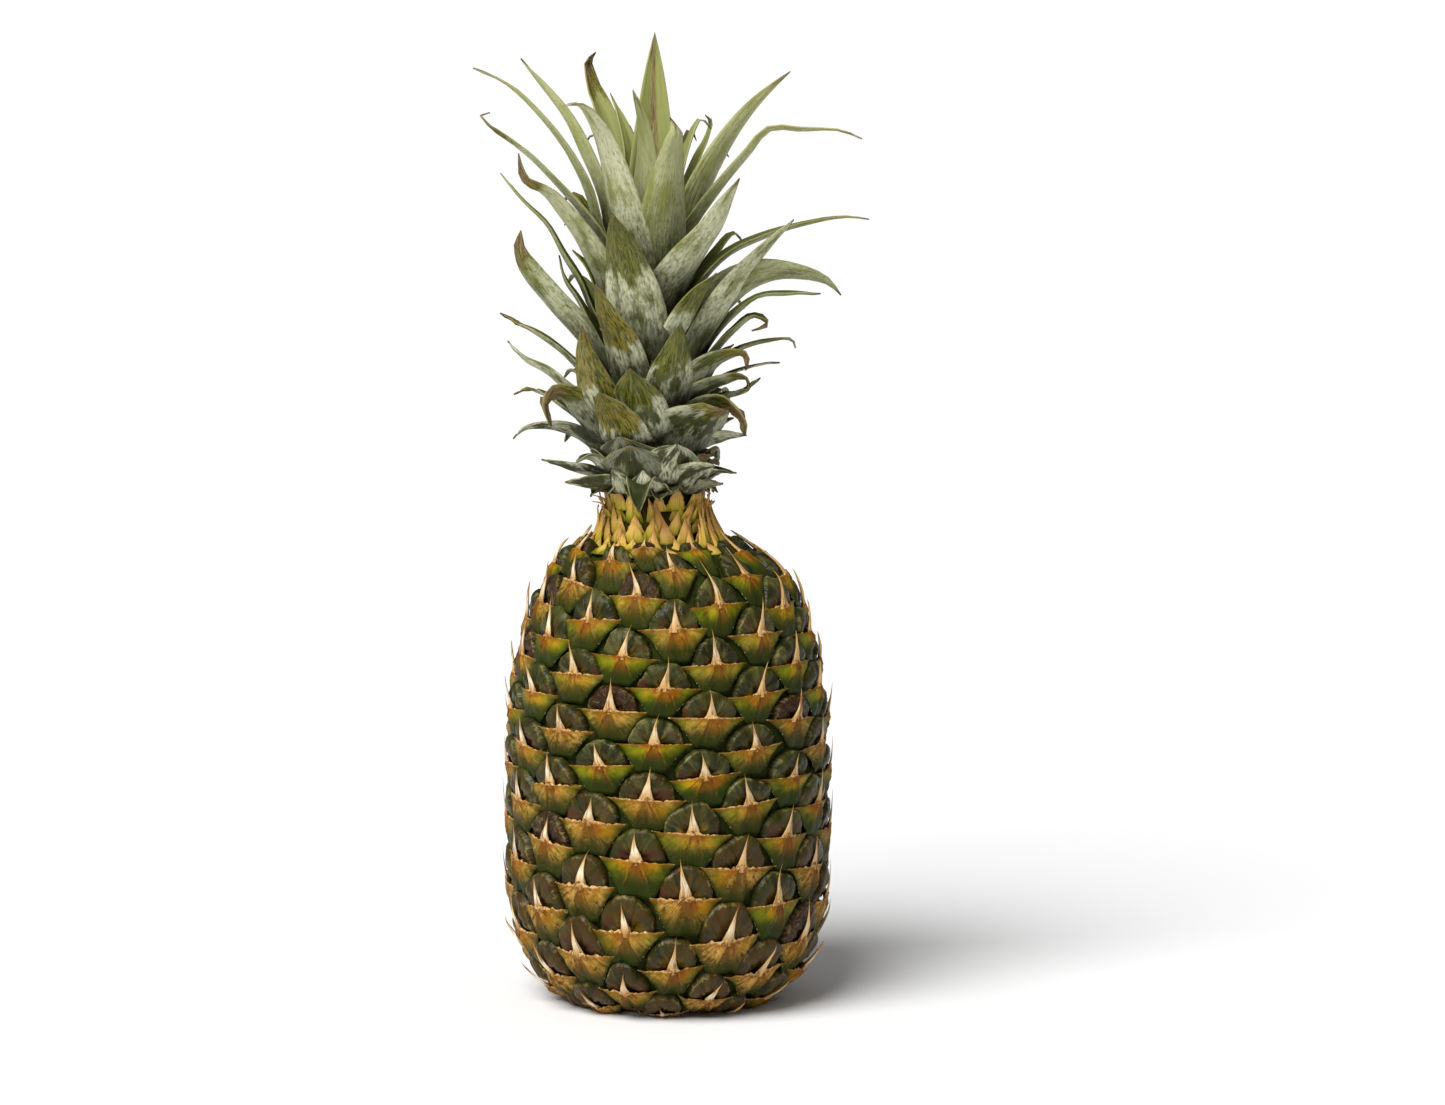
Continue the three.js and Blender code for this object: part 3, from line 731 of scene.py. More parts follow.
@dataclass(frozen=True)
class LeafSkin(Finish):
    """The skin of a crown leaf: stiff and lengthwise ribbed, with a whitish bloom that rubs off in patches.

    To the eye the side turned away from the stem is grey-green and chalky, the side towards it a clearer
    green. Ends that were rubbed are olive, and dead tips are tan.
    """

    name: str = "bloomed_leaf_back"
    deep: str = "#2b3209"
    green: str = "#747b29"
    # oldest and youngest: partly the colours of old and young leaves, partly painted shade low on the crown
    # and painted light high up
    oldest_and_shaded: str = "#1f2307"
    youngest_and_lit: str = "#b5b86c"
    bloom: str = "#dcdcbb"
    chalk: float = 1.0  # how strong the bloom is at most
    olive: str = "#66691a"
    gold: str = "#8c7a26"
    dead: str = "#5e4c33"
    straw: str = "#97825a"
    # margin: partly the leaf's own pale edge, partly painted rim light
    margin: str = "#a09a60"
    vein: str = "#2c380c"
    rib_mm: float = 0.9
    crease_mm: float = 0.8
    patch_mm: float = 7.0
    fleck_mm: float = 0.9

    def mixed(self, nodes: NodeSheet) -> bpy.types.Material:
        """Puts the leaf's nodes together.

        Args:
            nodes: An empty sheet of nodes.

        Returns:
            The material that they make.
        """
        add = nodes.add
        side, along, share = nodes.carried("flat")
        bloom, olive_from, dead_from = nodes.carried("look")
        chance, half, gold = nodes.carried("tone")
        level = add("SeparateXYZ", add("TexCoord").outputs["Object"]).outputs["Z"]
        seed = add("Math", chance, 67.0, **TIMES)
        across = add("Math", side, half, **TIMES)

        strands = nodes.drawn_out(seed, (across, 1 / self.rib_mm), (along, 0.045))
        ribs = add("TexNoise", strands, {"Scale": 1.0, "Detail": 4.0, "Roughness": 0.6})
        area = add("CombineXYZ", across, add("Math", along, 0.45, **TIMES), seed)
        patch = add("TexNoise", area, {"Scale": 1 / self.patch_mm, "Detail": 5.0, "Roughness": 0.65})
        fleck = add("TexNoise", area, {"Scale": 1 / self.fleck_mm, "Detail": 2.0})
        creased = add("CombineXYZ", across, add("Math", along, 0.22, **TIMES), seed)
        crinkle = add("TexNoise", creased, {"Scale": 1 / self.crease_mm, "Detail": 3.0, "Distortion": 0.6})

        ribbed = add("MapRange", ribs, 0.3, 0.7)
        # Darker low on the crown and lighter high up: partly the leaves' age, partly painted shade low down
        # and painted light high up.
        low_age_and_shade = add("MapRange", level, 0.26, 0.205, 0, 0.85, **SMOOTH)
        high_age_and_light = add("MapRange", level, 0.255, 0.335, 0, 0.6, **SMOOTH)
        # Low on the crown the bloom is rubbed to sharp patches, higher up it only thins out.
        bare = add("MapRange", level, 0.21, 0.27, 0.55, 0.68)
        kept = add("MapRange", patch, bare, 0.45, 0.08, **SMOOTH)
        thinner = add("MapRange", level, 0.235, 0.3, self.chalk, 0.82 * self.chalk)
        # Darker and barer towards each leaf's root: partly the leaf's own colour there, partly painted shade
        # deep among the leaves.
        root_colour_and_shade = add("Math", share, add("MapRange", crinkle, 0, 1, -0.1, 0.1), **PLUS)
        root_colour_and_shade = add("MapRange", root_colour_and_shade, 0.58, 0.24, **SMOOTH)
        for share_left in (
            add("MapRange", fleck, 0.7, 0.5, 0.3),
            add("MapRange", crinkle, 0.3, 0.55, 0.6),
            bloom,
            thinner,
            add("MapRange", root_colour_and_shade, 0, 1, 1.0, 0.15),
        ):
            kept = add("Math", kept, share_left, **TIMES)

        place = add("Math", share, add("MapRange", patch, 0, 1, -0.2, 0.2), **PLUS)
        past = add("Math", place, olive_from, **MINUS)
        past = add("Math", past, add("MapRange", crinkle, 0, 1, -0.06, 0.06), **PLUS)
        rubbed = add("MapRange", past, -0.04, 0.03, 0, 0.9, **SMOOTH)
        veined = add("MapRange", crinkle, 0.52, 0.42, 0, 0.85, **SMOOTH)
        pale = add("MapRange", crinkle, 0.58, 0.7, 0, 0.5, **SMOOTH)
        olive = add("Mix", gold, {6: self.olive, 7: self.gold}, **COLOURS)
        olive = add("Mix", veined, {6: olive, 7: self.vein}, **COLOURS)
        olive = add("Mix", pale, {6: olive, 7: self.straw}, **COLOURS)

        dying = add("MapRange", add("Math", place, dead_from, **MINUS), -0.05, 0.04, **SMOOTH)
        dead = add("Mix", add("MapRange", crinkle, 0.35, 0.65), {6: self.dead, 7: self.straw}, **COLOURS)
        beside = add("Math", add("Math", side, 0.05, **MINUS), **SIZE_OF)
        beside = add("Math", beside, add("MapRange", ribs, 0, 1, -0.15, 0.15), **PLUS)
        streak = add("MapRange", beside, 0.4, 0.08, 0, 0.9, **SMOOTH)
        streak = add("Math", streak, add("MapRange", gold, 1.0, 2.0), **TIMES)
        # Pale margins: partly the leaf's own pale edge, partly painted rim light along it.
        edge = add("MapRange", add("Math", side, **SIZE_OF), 0.95, 1.0, 0, 0.5)
        coats = (
            (ribbed, self.green),
            (low_age_and_shade, self.oldest_and_shaded),
            (high_age_and_light, self.youngest_and_lit),
            (add("MapRange", root_colour_and_shade, 0, 1, 0, 0.88), self.oldest_and_shaded),
            (kept, self.bloom),
            (rubbed, olive),
            (dying, dead),
            (streak, dead),
            (edge, self.margin),
        )
        rumple = add("MapRange", rubbed, 0, 1, 0.15, 0.8)
        reliefs = ((0.8, 0.6, ribs), (rumple, 0.8, crinkle))
        return nodes.close(self.deep, coats, add("MapRange", kept, 0, 1, 0.45, 0.7), reliefs, gloss=0.17)


@dataclass(frozen=True)
class StudioPaper(Finish):
    """The studio's paper: to the eye a matt, even white with a faint mottle."""

    name: str = "matt_studio_paper"

    def mixed(self, nodes: NodeSheet) -> bpy.types.Material:
        """Puts the paper's nodes together."""
        mottle = nodes.add("TexNoise", {"Scale": 40.0, "Detail": 3.0})
        return nodes.close(nodes.add("MapRange", mottle, 0, 1, 0.92, 0.94), (), 0.9)


# ---- fruit ----


@dataclass(frozen=True)
class FruitSkin:
    """The fruit's skin as a line from its foot to its neck, and the turn about its axis."""

    outline: tuple[Point, ...] = (
        (27, 0),
        (33.5, 1),
        (40.5, 5),
        (46.2, 11),
        (50.2, 17.5),
        (53, 24),
        (55.8, 34.5),
        (57, 47),
        (57.2, 62),
        (57.2, 80),
        (56.8, 98),
        (55.6, 114),
        (52.8, 129),
        (49.6, 141),
        (45.6, 151),
        (40.5, 159),
        (34, 165),
        (26.5, 169.6),
        (20, 172.5),
    )
    neck_shift: float = -4.0
    neck_shift_from: float = 158.0
    tuck: float = 0.5  # how far over the ground what lies in the foot is kept
    steps: int = 900
    line: list[tuple[float, Point]] = field(default_factory=list)

    def __post_init__(self) -> None:
        """Walks the line once and keeps the distance that each of its points is at."""
        points = [self.smooth(k / self.steps) for k in range(self.steps + 1)]
        gone = 0.0
        for before, here in zip(points[:1] + points, points):
            gone += math.dist(before, here)
            self.line.append((gone, here))

    def smooth(self, share: float) -> Point:
        """A point of the curve that runs through all the outline's points.

        Args:
            share: How far through the outline's points it lies, 0 to 1.

        Returns:
            Radius and level of the point.
        """
        last = len(self.outline) - 1
        whole = min(last - 1, int(share * last))
        t = share * last - whole
        near = [self.outline[min(last, max(0, whole + k))] for k in (-1, 0, 1, 2)]
        made = []
        for a, b, c, d in zip(*near):
            start, end = (c - a) / 2, (d - b) / 2
            cubic = 2 * b - 2 * c + start + end
            square = 3 * c - 3 * b - 2 * start - end
            made.append(cubic * t**3 + square * t**2 + start * t + b)
        return (made[0], made[1])

    @property
    def length(self) -> float:
        """Length of the line from foot to neck."""
        return self.line[-1][0]

    def at(self, along: float) -> tuple[Point, Point]:
        """The line's point and direction.

        Args:
            along: Distance from the foot's edge.

        Returns:
            Radius and level there, and the direction the line runs in.
        """
        along = min(self.length - 0.01, max(0.01, along))
        k = min(len(self.line) - 1, bisect_right(self.line, (along, (0.0, 0.0))))
        (d0, (r0, z0)), (d1, (r1, z1)) = self.line[k - 1], self.line[k]
        share = (along - d0) / (d1 - d0)
        return (mix(r0, r1, share), mix(z0, z1, share)), ((r1 - r0) / (d1 - d0), (z1 - z0) / (d1 - d0))

    def point(self, angle: float, along: float, out: float) -> Vector:
        """A place on or over the skin.

        Args:
            angle: Degrees to the right of the front.
            along: Distance from the foot's edge. Past the edge the place is tucked into the foot.
            out: Height over the skin.

        Returns:
            The place in mm.
        """
        (radius, level), (run, rise) = self.at(along)
        tucked = min(along, 0.0)
        r = radius + tucked + out * rise
        z = max(self.tuck, level - out * run)
        shift = self.neck_shift * ease(z, self.neck_shift_from, self.outline[-1][1])
        turn = math.radians(angle)
        return Vector((r * math.sin(turn) + shift, -r * math.cos(turn), z))


@dataclass(frozen=True)
class EyeSpiral:
    """Where the eyes sit: one spiral, each eye a fixed turn on from the one below it."""

    skin: FruitSkin
    turn: float = 227.555
    first_angle: float = 3.2
    lowest: int = -131
    highest: int = 30
    spacing: tuple[float, ...] = (158.2, 1.1184, 0.0029934, 0.0000334)
    top_ease: Point = (24, 1.5)  # the eye from which they crowd, and how far past the neck they would end
    foot_ease: Point = (-95, -150)  # the same at the foot
    cell_rise: float = 1.05  # mm of an eye's height for each step of the spiral
    cell_radius: float = 58.0
    full_cell: float = 380.0  # square mm of skin that a full eye takes up

    def law(self, number: float) -> float:
        """Distance along the skin before the ends are eased."""
        return sum(factor * number**power for power, factor in enumerate(self.spacing))

    def along(self, number: float) -> float:
        """Where an eye sits.

        Args:
            number: The eye, or a place between two eyes.

        Returns:
            The distance along the skin from the foot's edge.
        """
        top, over = self.top_ease
        foot, below = self.foot_ease
        if number > top:
            eye, end = top, self.skin.length + over
        elif number < foot:
            eye, end = foot, below
        else:
            return self.law(number)
        room = end - self.law(eye)
        slope = self.law(eye + 0.5) - self.law(eye - 0.5)
        return end - room * math.exp(-slope * (number - eye) / room)

    def size(self, number: float) -> float:
        """How large an eye is.

        Args:
            number: The eye.

        Returns:
            Its size, 1 where the fruit is thick.
        """
        rise = self.along(number + 0.5) - self.along(number - 0.5)
        (radius, _), _ = self.skin.at(self.along(number))
        return min(1.0, math.sqrt(2 * math.pi * radius * rise / self.full_cell))

    def place(self, number: int, right: float, up: float, out: float) -> Vector:
        """A place on an eye.

        Args:
            number: The eye.
            right: Mm to the right of the middle of its bract's lip.
            up: Mm above that.
            out: Mm over the skin.

        Returns:
            The place in mm, in the pineapple's own frame.
        """
        angle = self.first_angle + self.turn * number + math.degrees(right / self.cell_radius)
        along = self.along(number + up / self.cell_rise)
        return self.skin.point(angle, along, out * self.size(number) * ease(along, -2, 10))


@dataclass(frozen=True)
class Eye:
    """One eye, with what makes it differ from the next.

    Args:
        number: Its place in the spiral.
        height: Its share of the way from the foot to the neck.
        chance: A number of its own, 0 to 1.
        dry: How far its bract has dried, 0 to 1.
        size: Its size against the usual one.
        round: How much taller its dome and shorter its bract is, 0 to 1.
        shift: Mm that it stands off its place in the spiral, right and up.
        tilt: Degrees that it is turned to the left.
        spine: Length, lean to the right, hook at the tip, and height of the tip over the skin.
    """

    number: int
    height: float
    chance: float
    dry: float
    size: float
    round: float
    shift: Point
    tilt: float
    spine: tuple[float, float, float, float]

    @property
    def look(self) -> tuple[float, float, float]:
        """What the finishes read for this eye."""
        return (self.chance, self.height, self.dry)

    def moved(self, right: float, up: float) -> Point:
        """A place on the eye once the eye has its own size, tilt and shift.

        Args:
            right: Mm to the right of the middle of a usual eye's lip.
            up: Mm above that.

        Returns:
            The place to the right and up on this eye.
        """
        turn = math.radians(self.tilt)
        right, up = right * self.size, up * self.size
        return (
            right * math.cos(turn) - up * math.sin(turn) + self.shift[0],
            right * math.sin(turn) + up * math.cos(turn) + self.shift[1],
        )


@dataclass
class Fruit:
    """The fruit: a dark inner rind, and a dome, a bract and a spine on it for every eye."""

    spiral: EyeSpiral
    half_lip: float = 15.9
    short_lip: float = 13.6
    lip_height: float = 1.8
    bract_depth: float = 10.8
    short_bract: float = 10.4
    apex: float = -1.0
    apex_spread: float = 6.0
    rib_height: float = 0.85
    bract_wall: float = 0.4
    dome_reach: Point = (11.4, 9.7)
    round_dome: Point = (10.6, 10.8)
    dome_top: float = 3.3
    dome_foot: float = -1.3
    dome_edge: float = 9.0  # the power of the curve down to its edge, so it is flat on top and steep outside
    scallop: float = 0.02
    lump: float = 0.13
    pleat: Point = (0.12, 0.4)
    dent: float = 0.9
    crease: float = 0.7
    spine_width: float = 5.8
    spine_point: float = 0.22
    spine_thick: Point = (0.75, 0.25)
    spine_over: Point = (2.4, 3.9)
    spine_fold: float = 0.3
    widest: float = 61.3
    give: float = 2.0  # mm over which places past the widest are pressed back
    bract_grid: tuple[int, int] = (27, 9)
    dome_grid: tuple[int, int] = (24, 11)
    spine_grid: tuple[int, int] = (8, 10)
    rind_inset: float = 1.2
    rind_rings: int = 60
    rind_steps: int = 96
    stalk_radius: float = CutStalk.radius
    stalk_steps: int = 48
    groove_width: float = 6.0
    groove_depth: float = 2.5

    def eyes(self) -> Iterator[Eye]:
        """Every eye from the foot to the neck, each a little different.

        Returns:
            The eyes, from the lowest up.
        """
        dice = Dice(11)
        for number in range(self.spiral.lowest, self.spiral.highest + 1):
            height = (number - self.spiral.lowest) / (self.spiral.highest - self.spiral.lowest)
            bearing = math.radians(self.spiral.turn * number + self.spiral.first_angle)
            leftness = 0.5 - 0.5 * math.sin(bearing) + mix(0.25, -0.2, height)
            usual_dry = mix(0.95, 0.2, ease(height, 0, 0.75)) + 0.3 * leftness
            yield Eye(
                number=number,
                height=height,
                chance=dice.roll(),
                dry=clamp(usual_dry + dice.between(-0.6, 0.45)),
                size=dice.between(0.93, 1.06),
                round=clamp(leftness + dice.between(-0.3, 0.3)),
                shift=(dice.between(-0.9, 0.9), dice.between(-0.7, 0.7)),
                tilt=dice.between(-5, 5),
                spine=(
                    dice.between(9.0, 13.5) * mix(0.8, 1.0, ease(height, 0, 0.3)),
                    dice.between(-0.2, 0.22),
                    dice.between(-0.2, 0.25) * dice.roll(),
                    dice.between(4.2, 7.5),
                ),
            )

    def spot(self, eye: Eye, right: float, up: float, out: float) -> Vector:
        """A place on an eye, pressed gently back where it would pass the fruit's greatest width.

        Args:
            eye: The eye.
            right: Mm to the right of the middle of its bract's lip.
            up: Mm above that.
            out: Mm over the skin.

        Returns:
            The place in mm, in the pineapple's own frame.
        """
        spot = self.spiral.place(eye.number, *eye.moved(right, up), out)
        reach = math.hypot(spot.x, spot.y)
        over = reach - (self.widest - self.give)
        if over <= 0:
            return spot
        share = (self.widest - self.give * math.exp(-over / self.give)) / reach
        return Vector((spot.x * share, spot.y * share, spot.z))

    def build(self) -> list[bpy.types.Object]:
        """Builds the fruit's pieces and puts them in place of its plain solid.

        Returns:
            The pieces, from the inside out.
        """
        rind = self.rind()
        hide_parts("fruit")
        return [rind, self.stalk_end(), self.domes(), self.bracts(), self.spines()]

    def rind(self) -> bpy.types.Object:
        """The body under the eyes, with the groove round the cut stalk in its foot.

        Returns:
            The piece.
        """
        skin = self.spiral.skin
        groove = self.stalk_radius + self.groove_width
        deep = self.groove_depth
        outline = [(0.0, deep), (groove - 0.5, deep), (groove, deep - 0.6), (groove, 0.5)]
        outline += [(groove + 0.6, 0.0), (skin.outline[0][0] - 0.5, 0.0)]
        for k in range(self.rind_rings + 1):
            (radius, level), (run, rise) = skin.at(skin.length * k / self.rind_rings)
            inset = self.rind_inset * ease(level, -0.5, 4)
            outline.append((radius - inset * rise, level + inset * run))
        outline.append((0.0, outline[-1][1]))
        mesh = PieceMesh()
        mesh.turned(outline, self.rind_steps)
        neck = skin.outline[-1][1]
        for corner in mesh.bm.verts:
            corner.co.x += skin.neck_shift * MM * ease(corner.co.z / MM, skin.neck_shift_from, neck)
        return mesh.piece("inner_rind", [InnerRind()], "rind")

    def stalk_end(self) -> bpy.types.Object:
        """The sawn end of the stalk, level with the foot.

        Returns:
            The piece.
        """
        radius, top = self.stalk_radius, self.groove_depth + 0.2
        outline = [(0.0, 0.15), (radius * 0.4, 0.1), (radius * 0.75, 0.0), (radius - 0.6, 0.0), (radius, 0.5)]
        outline += [(radius, top), (0.0, top)]
        mesh = PieceMesh()
        mesh.turned(outline, self.stalk_steps)
        return mesh.piece("stalk_end", [CutStalk()], "rind")

    def domes(self) -> bpy.types.Object:
        """The waxy dome above each bract.

        Returns:
            The piece.
        """
        mesh = PieceMesh()
        for eye in self.eyes():
            mesh.sheet(self.dome_grid, lambda s, t, eye=eye: self.dome_at(eye, s, t), eye.look, capped=True)
        return mesh.piece("eye_domes", [WaxyDome()], "rind")

    def dome_at(self, eye: Eye, side: float, share: float) -> Placed:
        """A corner of a dome.

        Args:
            eye: The dome's eye.
            side: Its angle about the spine's foot, -1 to 1.
            share: Its share of the way from there to the dome's edge.

        Returns:
            The place in mm, and the flat values that the finish reads there.
        """
        angle = math.pi * (0.5 - 0.53 * side)
        wide, high = (mix(flat, tall, eye.round) for flat, tall in zip(self.dome_reach, self.round_dome))
        lumps = noise.noise(Vector((math.cos(angle) * 1.6, math.sin(angle) * 1.6, eye.number * 2.9)))
        scallop = self.scallop * math.cos(19 * angle + 6 * eye.chance) * share**4
        reach = share * (1 + scallop + self.lump * lumps)
        right = wide * reach * math.cos(angle)
        up = 0.4 + high * reach * math.sin(angle)
        swell = math.sqrt(max(0.0, 1 - share**self.dome_edge))
        side_on = mix(0.62, 1.0, ease(up, 0.0, 4.5))
        ridges = math.cos(11 * angle + 20 * eye.chance) * math.sin(math.pi * share)
        pleats = mix(*self.pleat, eye.round) * ridges
        dents = noise.noise(Vector((right / 4.5, up / 4.5, eye.number * 1.7)))
        crease = bump(angle - mix(0.5, 2.6, eye.chance), 0.12) * math.sin(math.pi * share)
        under_spine = 1.2 * bump(share, 0.35) + 0.5 * bump(right - eye.spine[1] * up, 1.8)
        out = self.dome_foot + (self.dome_top + 1.2) * swell * side_on
        out += (pleats + self.dent * dents - self.crease * crease - under_spine) * swell
        return self.spot(eye, right, up, min(out, self.dome_top + 0.5)), (right, up, share)

    def bracts(self) -> bpy.types.Object:
        """The bract below each spine.

        Returns:
            The piece.
        """
        mesh = PieceMesh()
        for eye in self.eyes():
            mesh.sheet(self.bract_grid, lambda s, t, eye=eye: self.bract_at(eye, s, t), eye.look)
        return mesh.piece("bracts", [LeatheryBract()], "rind", wall=self.bract_wall)

    def bract_at(self, eye: Eye, side: float, share: float) -> Placed:
        """A corner of a bract.

        Args:
            eye: The bract's eye.
            side: Its share across, -1 to 1.
            share: Its share of the way down from the lip to the sloping margins.

        Returns:
            The place in mm, and the flat values that the finish reads there.
        """
        half = mix(self.half_lip, self.short_lip, eye.round)
        right = half * side * (0.7 + 0.3 * abs(side))
        apex = self.apex + self.apex_spread * (eye.chance - 0.5)
        from_apex = right - apex
        room = half - apex if from_apex > 0 else half + apex
        spread = min(1.0, abs(from_apex) / room)
        rough = noise.noise(Vector((right * 0.8, eye.number * 3.1, 0)))
        lip = 0.3 + 1.1 * bump(right, 2.0) + rough * mix(0.35, 1.0, eye.dry) * (1 - spread**4)
        deep = mix(self.bract_depth, self.short_bract, eye.round)
        blunt = mix(0.76, 0.55, eye.round)
        hollow = mix(1.75, 1.05, eye.round)
        low = 0.2 - deep * min(1.0, (1 - spread) / blunt) ** hollow * mix(0.96, 1.04, eye.chance)
        up = mix(lip, low, share)

        crest = self.lip_height + 1.3 * bump(right, 3.8) - 0.9 * spread**4
        margin = mix(-0.1, 0.1, spread) + 0.7 * math.sin(math.pi * spread)
        out = mix(crest, margin, share**1.2) + 0.3 * math.sin(math.pi * share) * (1 - spread**2)
        leg = self.leg_at(up)
        fade = ease(share, 0.02, 0.25) * (1 - share**3)
        out += (self.rib_height * bump(abs(right) - leg, 0.7) - 0.5 * bump(right, 1.0)) * fade
        out += mix(0.5, 0.9, eye.dry) * noise.noise(Vector((right / 3, up / 4, eye.number * 2.3)))
        inside = min(1 - share, 1 - abs(side))
        return self.spot(eye, right, up, out), (right, up, inside)

    @staticmethod
    def leg_at(up: float) -> float:
        """How far from the middle a bract's two main ribs have spread at a height."""
        return LeatheryBract.rib_foot + LeatheryBract.rib_slope * max(0.0, -up)

    def spines(self) -> bpy.types.Object:
        """The dry spine that stands up from the middle of each lip.

        Returns:
            The piece.
        """
        mesh = PieceMesh()
        for eye in self.eyes():
            look = (eye.chance, eye.height, eye.round)
            mesh.sheet(self.spine_grid, lambda s, t, eye=eye: self.spine_at(eye, s, t), look, capped=True)
        return mesh.piece("spines", [DrySpine()], "rind")

    def spine_at(self, eye: Eye, side: float, share: float) -> Placed:
        """A corner of a spine: a flattened tube, wide at its foot and drawn out to a point.

        Args:
            eye: The spine's eye.
            side: Its share of the way round the tube, -1 to 1.
            share: Its share of the way from foot to tip.

        Returns:
            The place in mm, and the flat values that the finish reads there.
        """
        length, lean, hook, tip_out = eye.spine
        round_it = math.pi * side
        drawn = mix(2.3, 1.7, eye.round)
        half = (self.spine_width / 2) * (1 - share) ** drawn * mix(0.9, 1.15, eye.chance)
        half += self.spine_point * (1 - share)
        half *= mix(mix(1.3, 0.75, eye.round), 1.0, ease(share, 0.02, 0.2))
        thick = mix(*self.spine_thick, share) * (1 - share**12)
        up = mix(-1.0, length, share)
        middle = lean * up * ease(share, 0.05, 0.6) + hook * length * share**4
        right = middle + half * math.sin(round_it)
        folds = self.spine_fold * math.cos(3 * round_it + eye.chance * 9) * (1 - share)
        foot, middle_out = self.spine_over
        crest = mix(foot, middle_out, ease(share, 0.0, 0.5)) + (tip_out - middle_out) * ease(share, 0.3, 1.1)
        out = crest + thick * math.cos(round_it) + folds
        across = half * side * 2
        return self.spot(eye, right, up, out), (across, up, share)


# ---- collar ----


@dataclass(frozen=True)
class Scale:
    """One papery scale of the collar.

    Args:
        root: Reach from the neck's axis and height of its root.
        tip: The same for its tip.
        width: Its width at the root.
        bearing: Degrees round the neck from the front.
        curl: How far its tip curls out and down.
        bend: How far its tip stands to one side.
    """

    root: Point
    tip: Point
    width: float
    bearing: float
    curl: float = 0.0
    bend: float = 0.0

    def at(self, centre: float, side: float, share: float) -> Placed:
        """A corner of the scale: broad at its root, drawn out to a point, with a ridge down its middle.

        Args:
            centre: X of the neck's axis.
            side: Share across, -1 to 1.
            share: Share along, 0 at the root.

        Returns:
            The place in mm and the scale's own flat values.
        """
        half = self.width / 2 * ((1 - share) ** 1.2 + 0.05 * math.sin(math.pi * share))
        ragged = 1 + 0.2 * noise.noise(Vector((share * 9, self.bearing, side)))
        across = half * side * ragged + self.bend * share**2
        length = math.dist(self.root, self.tip)
        belly = 0.5 * math.sin(math.pi * share)
        curl = self.curl * ease(share, 0.55, 1.0)
        out = mix(self.root[0], self.tip[0], share) + belly + curl
        out += 1.0 * (1 - abs(side)) * (1 - share) - 0.3 * side * side
        level = mix(self.root[1], self.tip[1], share) - 0.7 * curl * share
        turn = math.radians(self.bearing) + across / max(12.0, self.root[0])
        spot = Vector((out * math.sin(turn) + centre, -out * math.cos(turn), level))
        return spot, (half * side, length * share, share)


@dataclass(frozen=True)
class ScaleRow:
    """A row of scales.

    Args:
        count: How many there are.
        root: Reach from the neck's axis and height of their roots.
        tip: The same for their tips.
        width: Their width at the root.
        curl: How far their tips curl out at most.
        span: The bearings that the row runs from and to.
        dry: How dry they are at most, 0 to 1.
    """

    count: int
    root: Point
    tip: Point
    width: float
    curl: float = 0.6
    span: Point = (0.0, 360.0)
    dry: float = 1.0

    def scales(self, dice: Dice) -> Iterator[Scale]:
        """The row's scales, each a little different from the next.

        Args:
            dice: What their differences are drawn from.

        Returns:
            The scales, in the order of their bearings.
        """
        start, end = self.span
        for k in range(self.count):
            rise = dice.between(-4.0, 1.0)
            yield Scale(
                root=(self.root[0] + dice.between(-0.4, 0.4), self.root[1] + dice.between(-0.5, 0.5)),
                tip=(self.tip[0] + dice.between(-0.5, 0.7), self.tip[1] + rise),
                width=self.width * dice.between(0.65, 1.2),
                bearing=mix(start, end, (k + dice.between(-0.35, 0.35)) / self.count),
                curl=self.curl * dice.roll() ** 2,
                bend=dice.between(-1.6, 1.6),
            )


@dataclass
class Collar:
    """The short neck between fruit and crown, wrapped in rings of papery pointed scales."""

    centre: float = -4.4  # X of the neck's axis
    bottom: float = 171.0
    top: float = 187.6
    radius: float = 16.0
    wall: float = 0.4
    steps: int = 40
    grid: tuple[int, int] = (8, 10)
    rows: tuple[ScaleRow, ...] = (
        ScaleRow(16, (16.4, 183.0), (18.2, 194.5), 9.0, 1.0),
        ScaleRow(15, (15.8, 178.0), (17.8, 191.5), 8.4, 1.5),
        ScaleRow(16, (17.2, 174.0), (18.0, 186.5), 8.6, 1.0),
        ScaleRow(18, (19.4, 171.0), (18.6, 182.0), 8.8, 0.8),
        ScaleRow(20, (23.6, 168.6), (20.0, 177.5), 9.4, 0.6),
        ScaleRow(22, (28.6, 167.6), (22.8, 173.6), 9.6, 0.6),
        ScaleRow(14, (23.5, 169.2), (19.0, 187.0), 3.4, 2.5, (50.0, 125.0)),
        ScaleRow(9, (26.5, 168.2), (19.0, 183.0), 3.4, 1.5, (62.0, 118.0)),
        ScaleRow(8, (22.8, 169.4), (18.8, 186.0), 3.2, 2.5, (-115.0, -60.0)),
        ScaleRow(9, (17.2, 178.0), (20.0, 189.5), 2.8, 5.0, (50.0, 120.0), 0.0),
        ScaleRow(9, (17.0, 178.0), (20.0, 189.0), 3.0, 5.0, (-120.0, -60.0), 0.0),
    )

    def build(self) -> list[bpy.types.Object]:
        """Builds the collar's pieces and puts them in place of its plain solid.

        Returns:
            The pieces, from the inside out.
        """
        core = self.core()
        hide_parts("collar")
        return [core, self.scales()]

    def core(self) -> bpy.types.Object:
        """The neck itself, seen only between the scales.

        Returns:
            The piece.
        """
        mesh = PieceMesh()
        outline = [(0.0, self.bottom), (self.radius + 2, self.bottom), (self.radius, self.bottom + 4)]
        outline += [(self.radius - 1, self.top), (0.0, self.top)]
        mesh.turned(outline, self.steps, self.centre)
        return mesh.piece("neck", [InnerRind(name="shaded_neck", valley="#3c3409")], "dry_scales")

    def scales(self) -> bpy.types.Object:
        """All the scales, row by row from the inside out.

        Returns:
            The piece.
        """
        dice = Dice(7)
        mesh = PieceMesh()
        for row in self.rows:
            for scale in row.scales(dice):
                look = (dice.roll(), dice.roll(), dice.roll() * row.dry)
                mesh.sheet(self.grid, lambda s, t, scale=scale: scale.at(self.centre, s, t), look)
        return mesh.piece("collar_scales", [DryScale()], "dry_scales", wall=self.wall)


# ---- crown ----


